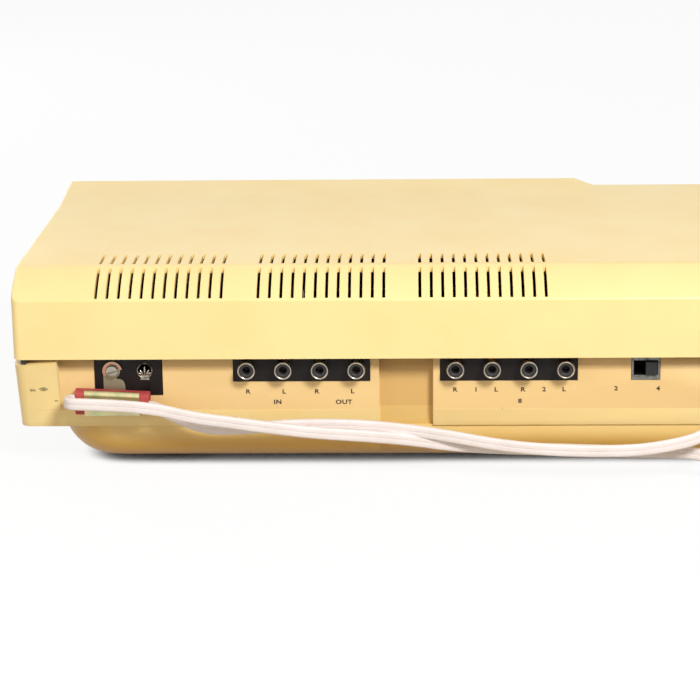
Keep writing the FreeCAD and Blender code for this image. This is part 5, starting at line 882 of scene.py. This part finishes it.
def framed(low, high, edge, thick):
    """A flat rectangular frame from its opening's corners, its rim's width and its thickness."""
    (left, bottom), (right, top) = low, high
    outer = [(left - edge, bottom - edge), (right + edge, bottom - edge),
             (right + edge, top + edge), (left - edge, top + edge)]
    inner = [(left, bottom), (left, top), (right, top), (right, bottom)]
    return cut_sheet("frame", outer, [inner], thick)


window_low, window_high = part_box("dial_window")
window_lap = 1.1
dial_left, dial_right = window_low.x / MM + window_lap, window_high.x / MM - window_lap
dial_foot, dial_head = 46, 69
bay_low, bay_high = (-45.9, 8.5), (57.9, 38.9)
trim = joined(onto(framed((dial_left, dial_foot), (dial_right, dial_head), 1.4, 0.5),
                   fascia(0, 0, -1.25)),
              onto(framed(bay_low, bay_high, 1.0, 0.4), fascia(0, 0, -1.3)))
made("fascia_trim", trim, brushed, "chassis", 30)

# ---------------------------------------------------------------- dial
# A clear acrylic pane in the fascia, a lit channel behind it with the printed scale on its back,
# and a red pointer that a string pulls along the channel's upper flange.

# Cast acrylic, clear, faintly smoky.
acrylic, tree, shader = finish("dial_acrylic", "#E9E6DF", 0.05, IOR=1.49, Transmission_Weight=1.0)
haze = add(tree, "ShaderNodeTexNoise", Vector=add(tree, "ShaderNodeTexCoord").outputs["Object"],
           Scale=1 / (8 * MM), Detail=4)
haze = add(tree, "ShaderNodeMapRange", Value=haze.outputs["Fac"], _1=0.3, _2=0.7, _3=0.02, _4=0.09)
tree.links.new(haze.outputs[0], shader.inputs["Roughness"])
dress("dial_window", acrylic)

# Sprayed black lacquer on folded sheet, matt.
scale_lacquer = mottled("scale_lacquer", "#151412", 0.6, "#24221E", 18, (0.52, 0.7), 0.01, 0.3, 0.5)
dress("dial_scale_plate", scale_lacquer)

# Screen printed cream ink, flat.
pale_ink = mottled("cream_ink", "#E9E1C4", 0.65, "#D2C79F", 2, (0.6, 0.75), 0.003, 0.2, 0.4)
scale_start, scale_end, scale_in = -60, 140, -10.98
fm_up, am_up, line_up, fine_up, number_tall, band_tall = 61.2, 50.4, 57.6, 55.0, 3.0, 2.6
scale_face = fascia(0, 0, scale_in)
fm_marks = [(str(88 + 4 * step), scale_start + 40 * step, fm_up, number_tall) for step in range(6)]
am_marks = [(text, scale_start + (scale_end - scale_start) * share, am_up, number_tall)
            for text, share in (("54", 0), ("60", 0.13), ("70", 0.3), ("80", 0.44), ("100", 0.63),
                                ("120", 0.78), ("140", 0.9), ("160", 1.0))]
bands = [("FM", -74, fm_up, band_tall), ("AM", -74, am_up, band_tall)]
letters("dial_numbers", fm_marks + am_marks + bands, scale_face, pale_ink)
fine_mark = slab((-0.15, 0.15), (0, 1.4), (0, 0.05))
rows("scale_fine_marks", fine_mark,
     [((scale_start, line_up, 0), (4, 0, 0), 51), ((scale_start, fine_up, 0), (5, 0, 0), 41)],
     pale_ink, place=scale_face)
long_mark = slab((-0.25, 0.25), (0, 2.4), (0, 0.06))
rows("scale_long_marks", long_mark, [((scale_start, line_up, 0), (40, 0, 0), 6)], pale_ink,
     place=scale_face)
scale_line = slab((scale_start - 2, scale_end + 2), (56.9, 57.2), (0, 0.05))
made("scale_line", onto(scale_line, scale_face), pale_ink, "chassis", 30)

# Signal red enamel on the pointer's moulding.
pointer_enamel = mottled("pointer_enamel", "#D8351F", 0.35,
                         "#B8280F", 5, (0.28, 0.42), 0.004, 0.3, 0.4)
dress("dial_pointer", pointer_enamel, "pointer", bevel=0.12)

# Festoon lamps: clear glass with a grey bloom, unlit.
lamp_glass = mottled("lamp_glass", "#EDEAE0", 0.08,
                     "#B9B19C", 3, (0.04, 0.2), 0, 0.3, 0.4, IOR=1.5, Transmission_Weight=0.85)
dress("dial_lamps", lamp_glass)

cord_of_dial = [fascia(x, 73.6, -8.4).translation for x in (-84, 164)]
string_ring = [(x * MM, y * MM) for x, y in ring_of(0.25, 6)]
# Braided nylon string that pulls the pointer, stretched along the dial's upper flange.
dial_string = mottled("nylon_string", "#C9BFA0", 0.7, "#A4987A", 1, (0.6, 0.8), 0.02, 0.2, 0.5)
made("dial_string", sweep(cord_of_dial, [string_ring] * 2, Vector((0, 0, 1))), dial_string,
     "chassis", 60)

# ---------------------------------------------------------------- cartridge door
# A flap of black ABS with moulded finger ribs and a bright aluminium strip below them. It hangs on
# a steel pin above the bay.

dress("cartridge_door", fascia_abs, "door", bevel=0.3)
rib = slab((-49, 49), (-0.45, 0.45), (-0.2, 0.45), 0.15)
rows("door_ribs", rib, [((6, 15, face_out), (0, 2.4, 0), 8)], fascia_abs, "door",
     place=fascia(0, 0))
made("door_strip", onto(slab((-44, 56), (10.4, 12.6), (-0.1, 0.35), 0.15), fascia(0, 0, face_out)),
     brushed, "door", 30)

# Cold drawn steel, bright, with a film of oil.
drawn_steel = mottled("drawn_steel", "#A9A8A4", 0.25,
                      "#7E7C76", 6, (0.18, 0.38), 0.003, 0.2, 0.5, Metallic=1.0)
dress("door_hinge_pin", drawn_steel)

# ---------------------------------------------------------------- knobs
# Fluted knobs of black phenolic with turned aluminium caps, and a cream line that shows their
# place. The scales round them are printed on the fascia.

# Compression moulded phenolic, polished: black with a deep gloss.
knob_phenolic = mottled("knob_phenolic", "#171412", 0.28,
                        "#241E1A", 7, (0.22, 0.36), 0.004, 0.3, 0.5)

# Turned aluminium: rings 0.12 mm apart, at 52 radians of a wave to the millimetre, from the radius
# kept in the cap's own UV map.
turned_metal, tree, shader = finish("turned_aluminium", "#CFCFCC", 0.28, Metallic=1.0)
ring_rate = 52.0
turning = add(tree, "ShaderNodeUVMap", {"uv_map": "turning"})
across = add(tree, "ShaderNodeSeparateXYZ", Vector=turning.outputs[0])
rings = add(tree, "ShaderNodeMath", {"operation": "MULTIPLY"}, _0=across.outputs["X"],
            _1=ring_rate)
rings = add(tree, "ShaderNodeMath", {"operation": "SINE"}, _0=rings.outputs[0])
wander = add(tree, "ShaderNodeTexNoise", Vector=turning.outputs[0], Scale=3.0, Detail=2)
height = add(tree, "ShaderNodeMath", {"operation": "MULTIPLY"}, _0=rings.outputs[0],
             _1=wander.outputs["Fac"])
groove = add(tree, "ShaderNodeBump", Strength=0.6, Distance=0.003 * MM, Height=height.outputs[0])
tree.links.new(groove.outputs[0], shader.inputs["Normal"])
spread = add(tree, "ShaderNodeMapRange", Value=wander.outputs["Fac"], _1=0.3, _2=0.7, _3=0.2,
             _4=0.36)
tree.links.new(spread.outputs[0], shader.inputs["Roughness"])


def knob(node, body, x, up, radius, marks, sweep_deg):
    """Dress a knob: sink its crown for the cap, add the cap and a line, and print its scale."""
    outside = fascia(x, up).to_3x3().col[2]
    middle = fascia(x, up).translation
    sink = 0.3
    shape = merged(node)
    crown = max((vertex.co - middle).dot(outside) for vertex in shape.verts)
    for vertex in shape.verts:
        if (vertex.co - middle).dot(outside) > crown - 0.05 * MM:
            vertex.co -= outside * sink * MM
    grip = made(node + "_grip", shape, knob_phenolic, body, 30)
    flatten(grip)
    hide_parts(node)
    reach = radius * 0.88 - 2.6
    disc = [(0, -0.5), (reach, -0.5), (reach, -0.12), (reach - 0.15, 0), (0, 0)]
    cap = made(node + "_cap", onto(turned(disc, 64), fascia(x, up, crown / MM)), turned_metal,
               body, 40)
    layer = cap.data.uv_layers.new(name="turning")
    for corner in cap.data.loops:
        apart = cap.data.vertices[corner.vertex_index].co - middle
        apart = apart - outside * apart.dot(outside)
        layer.data[corner.index].uv = (apart.length / MM, 0)
    line_out = slab((-0.4, 0.4), (radius * 0.86 - 2.3, radius * 0.88 - 0.6), (0, 0.12), 0.03)
    made(node + "_line", onto(line_out, fascia(x, up, crown / MM - sink)), pale_ink, body, 30)
    ticks, sockets, inputs = tree_of(node + "_scale", ("Count", "Int"), ("Radius", "Float"),
                                     ("First", "Float"), ("Step", "Float"))
    spots = add(ticks, "GeometryNodeMeshLine", Count=inputs["Count"], Start_Location=(0, 0, 0),
                Offset=(0, 0, 0))
    number = add(ticks, "GeometryNodeInputIndex")
    angle = add(ticks, "ShaderNodeMath", {"operation": "MULTIPLY_ADD"}, _0=number.outputs[0],
                _1=inputs["Step"], _2=inputs["First"])
    cos = add(ticks, "ShaderNodeMath", {"operation": "COSINE"}, _0=angle.outputs[0])
    sin = add(ticks, "ShaderNodeMath", {"operation": "SINE"}, _0=angle.outputs[0])
    spot = add(ticks, "ShaderNodeCombineXYZ", X=cos.outputs[0], Y=sin.outputs[0])
    spot = add(ticks, "ShaderNodeVectorMath", {"operation": "SCALE"}, _0=spot.outputs[0],
               Scale=inputs["Radius"])
    moved = add(ticks, "GeometryNodeSetPosition", Geometry=spots.outputs[0],
                Position=spot.outputs[0])
    turn = add(ticks, "ShaderNodeCombineXYZ", Z=angle.outputs[0])
    close(ticks, moved.outputs[0], inputs["Shape"], turn.outputs[0], pale_ink)
    first = math.radians(90 + sweep_deg / 2)
    values = (marks, (radius + 1.6) * MM, first, -math.radians(sweep_deg) / (marks - 1))
    repeated(node + "_ticks", slab((0, 1.3), (-0.15, 0.15), (0, 0.05)), ticks, zip(sockets, values),
             pale_ink, "chassis", 30, fascia(x, up, face_out))


def middle_of(node):
    """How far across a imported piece's middle is, in millimetres."""
    return (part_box(node)[0].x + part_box(node)[1].x) / 2 / MM


low_row, high_row = 22.5, 55.5
# The tuning knob has one mark, at its top: two of a scale so narrow that they fall together.
for name, up, radius, marks, sweep_deg in (
        ("tuning", low_row, 15, 2, 0.001), ("volume", high_row, 15, 11, 300),
        ("selector", low_row, 12, 4, 90), ("bass", low_row, 7, 11, 300),
        ("treble", low_row, 7, 11, 300), ("balance", low_row, 7, 11, 300)):
    knob(name + "_knob", name, middle_of(name + "_knob"), up, radius, marks, sweep_deg)

# ---------------------------------------------------------------- buttons, lamps and headphones
# Two ivory push buttons, four amber program lamps with their numbers, and a headphone socket with a
# nickel nut.

# Ivory ABS, satin.
ivory = mottled("ivory_abs", "#E7DDBE", 0.4, "#D9CBA3", 10, (0.34, 0.48), 0.01, 0.4, 0.4)
dress("program_button", ivory, "program_key", bevel=0.5)
dress("power_button", ivory, "power_key", bevel=0.5)

# Amber polystyrene, clear tinted.
amber = mottled("amber_lens", "#E0841C", 0.12,
                "#C46A10", 2, (0.08, 0.2), 0.004, 0.3, 0.4, Transmission_Weight=0.6, IOR=1.55)
dress("program_lamps", amber)
lamp_pitch, lamp_middle = 12, middle_of("program_button")
lamp_marks = [(str(number + 1), lamp_middle + (number - 1.5) * lamp_pitch, 37.6, 2.2)
              for number in range(4)]
letters("lamp_numbers", lamp_marks, fascia(0, 0, face_out), pale_ink)
dress("headphone_jack", nickel)

# ---------------------------------------------------------------- behind the fascia
# The brass tuning shaft, which turns with its knob, and the potentiometers in zinc plated cans and
# the phenolic push switches, which are fixed to the fascia's back.

# Free cutting brass, turned, tarnished to a brown gold.
brass = mottled("turned_brass", "#B08D4C", 0.3,
                "#7C6232", 4, (0.22, 0.42), 0.004, 0.2, 0.6, Metallic=1.0)
dress("tuning_shaft", brass, "tuning")
dress("control_pots", zinc)
dress("button_switches", phenolic)

# ---------------------------------------------------------------- chassis
# One sheet of zinc plated steel, 1.2 mm thick, lies on the tray's ledges. The posts and pivots are
# riveted into it.

# Zinc plated sheet, passivated: grey with soft iridescent drifts and the rolling's faint streaks.
sheet_zinc = mottled("zinc_sheet", "#B7B8B4", 0.36,
                     "#A5A08C", 35, (0.28, 0.48), 0.006, 0.4, 0.6, Metallic=1.0)
dress("main_chassis", sheet_zinc)

# ---------------------------------------------------------------- tape deck
# The cartridge slides into a folded steel guide. A belt from the motor's pulley turns the flywheel
# and its ground capstan. The solenoid's pawl turns the cam, which lifts the head carriage.

dress("cartridge_guide", sheet_zinc)
# Centreless ground stainless steel: a near mirror with rings round it.
ground_steel = mottled("ground_steel", "#C6C6C4", 0.12,
                       "#A9A8A4", 2, (0.08, 0.18), 0.001, 0.1, 0.3, Metallic=1.0)
dress("capstan_shaft", ground_steel, "capstan", smooth=40)
# Die cast zinc, its rim turned bright.
cast_zinc = mottled("die_cast_zinc", "#9C9D9B", 0.42,
                    "#7C7D7B", 9, (0.34, 0.54), 0.02, 0.5, 0.5, Metallic=1.0)
dress("flywheel", cast_zinc, "capstan")
# Sintered bronze in its flange.
dress("capstan_bearing", brass)
dress("drive_motor", zinc)
dress("motor_pulley", brass, "pulley")
# Ground neoprene, matt with a polished running face.
neoprene = mottled("belt_neoprene", "#171717", 0.55, "#2A2A29", 6, (0.45, 0.65), 0.01, 0.2, 0.4)
dress("drive_belt", neoprene, smooth=50)
dress("head_carriage", cast_zinc, "carriage")
# Drawn mu-metal can, lapped over its face.
mu_metal = mottled("mu_metal", "#B4B0A8", 0.2,
                   "#8F8A80", 3, (0.14, 0.3), 0.003, 0.2, 0.4, Metallic=1.0)
dress("tape_head", mu_metal, "carriage", bevel=0.25)
dress("track_cam", nylon, "cam")
# The solenoid's bobbin is wound with enamelled copper inside a zinc plated yoke.
yoke = mottled("solenoid_yoke", "#AFAFAB", 0.34,
               "#8A8A84", 6, (0.28, 0.44), 0.005, 0.3, 0.5, Metallic=1.0)
dress("track_solenoid", yoke)
dress("solenoid_plunger", drawn_steel, "plunger")
dress("cartridge_latch_arm", sheet_zinc, "latch_arm")
dress("cartridge_roller", foot_rubber, "roller")

# ---------------------------------------------------------------- electronics
# A phenolic circuit board on four posts with its capacitors, coils and transistors, the finned heat
# sink, the power transformer, and the tuning capacitor with its meshing vanes.

# Paper phenolic laminate, tan brown, with solder resist's sheen.
laminate, tree, shader = finish("board_laminate", "#9A6B35", 0.45)
where = mottle(tree, shader, "#7E5426", 12, (0.38, 0.52), 0.01, 0.4, 0.6)
traces = add(tree, "ShaderNodeTexVoronoi", {"feature": "DISTANCE_TO_EDGE", "distance": "MANHATTAN"},
             Vector=where, Scale=1 / (9 * MM))
shade_by(tree, shader, traces.outputs["Distance"], 0.12, 0.1, "#B07A3C", 0.8)
dress("main_board", laminate)
# Capacitor sleeves in orange and blue vinyl, with black epoxy transistors between them.
sleeve_vinyl, tree, shader = finish("capacitor_sleeve", "#D9742A", 0.4)
where = mottle(tree, shader, "#C4601C", 6, (0.34, 0.48), 0.004, 0.3, 0.4)
parts = add(tree, "ShaderNodeSeparateXYZ", Vector=where)
shade_by(tree, shader, parts.outputs["X"], 2 * MM, 3 * MM, "#2F4F80", 1.0)
shade_by(tree, shader, parts.outputs["X"], 51 * MM, 52 * MM, "#C9A640", 1.0)
shade_by(tree, shader, parts.outputs["Y"], 59 * MM, 58 * MM, "#22201E", 1.0)
dress("board_components", sleeve_vinyl)
# Extruded aluminium, black anodised.
anodised = mottled("black_anodised", "#26262A", 0.42,
                   "#34343A", 15, (0.36, 0.5), 0.006, 0.25, 0.4, Metallic=0.6)
dress("heat_sink", anodised)
# Varnished iron laminations 0.5 mm thick, round a bobbin under yellow tape.
core, tree, shader = finish("varnished_core", "#3B332C", 0.5, Metallic=0.3)
where = mottle(tree, shader, "#574A3C", 10, (0.4, 0.6), 0.01, 0.4, 0.6)
parts = add(tree, "ShaderNodeSeparateXYZ", Vector=where)
sheet_thick, tape_wide = 0.5, 8
sheets = add(tree, "ShaderNodeMath", {"operation": "MULTIPLY"}, _0=parts.outputs["Y"],
             _1=2 * math.pi / (sheet_thick * MM))
sheets = add(tree, "ShaderNodeMath", {"operation": "SINE"}, _0=sheets.outputs[0])
shade_by(tree, shader, sheets.outputs[0], 0.2, 0.8, "#1E1A17", 0.6)
core_low, core_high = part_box("power_transformer")
for face, side in ((core_low.y, 1), (core_high.y, -1)):
    shade_by(tree, shader, parts.outputs["Y"], face + side * (tape_wide + 0.2) * MM,
             face + side * tape_wide * MM, "#D2B24A", 1.0)
dress("power_transformer", core)
# Bright rolled aluminium vanes and frame.
vane_metal = mottled("rolled_aluminium", "#C4C5C4", 0.3,
                     "#A4A5A2", 12, (0.24, 0.4), 0.004, 0.3, 0.4, Metallic=1.0)
dress("tuning_gang", vane_metal)
dress("gang_rotor", vane_metal, "rotor")
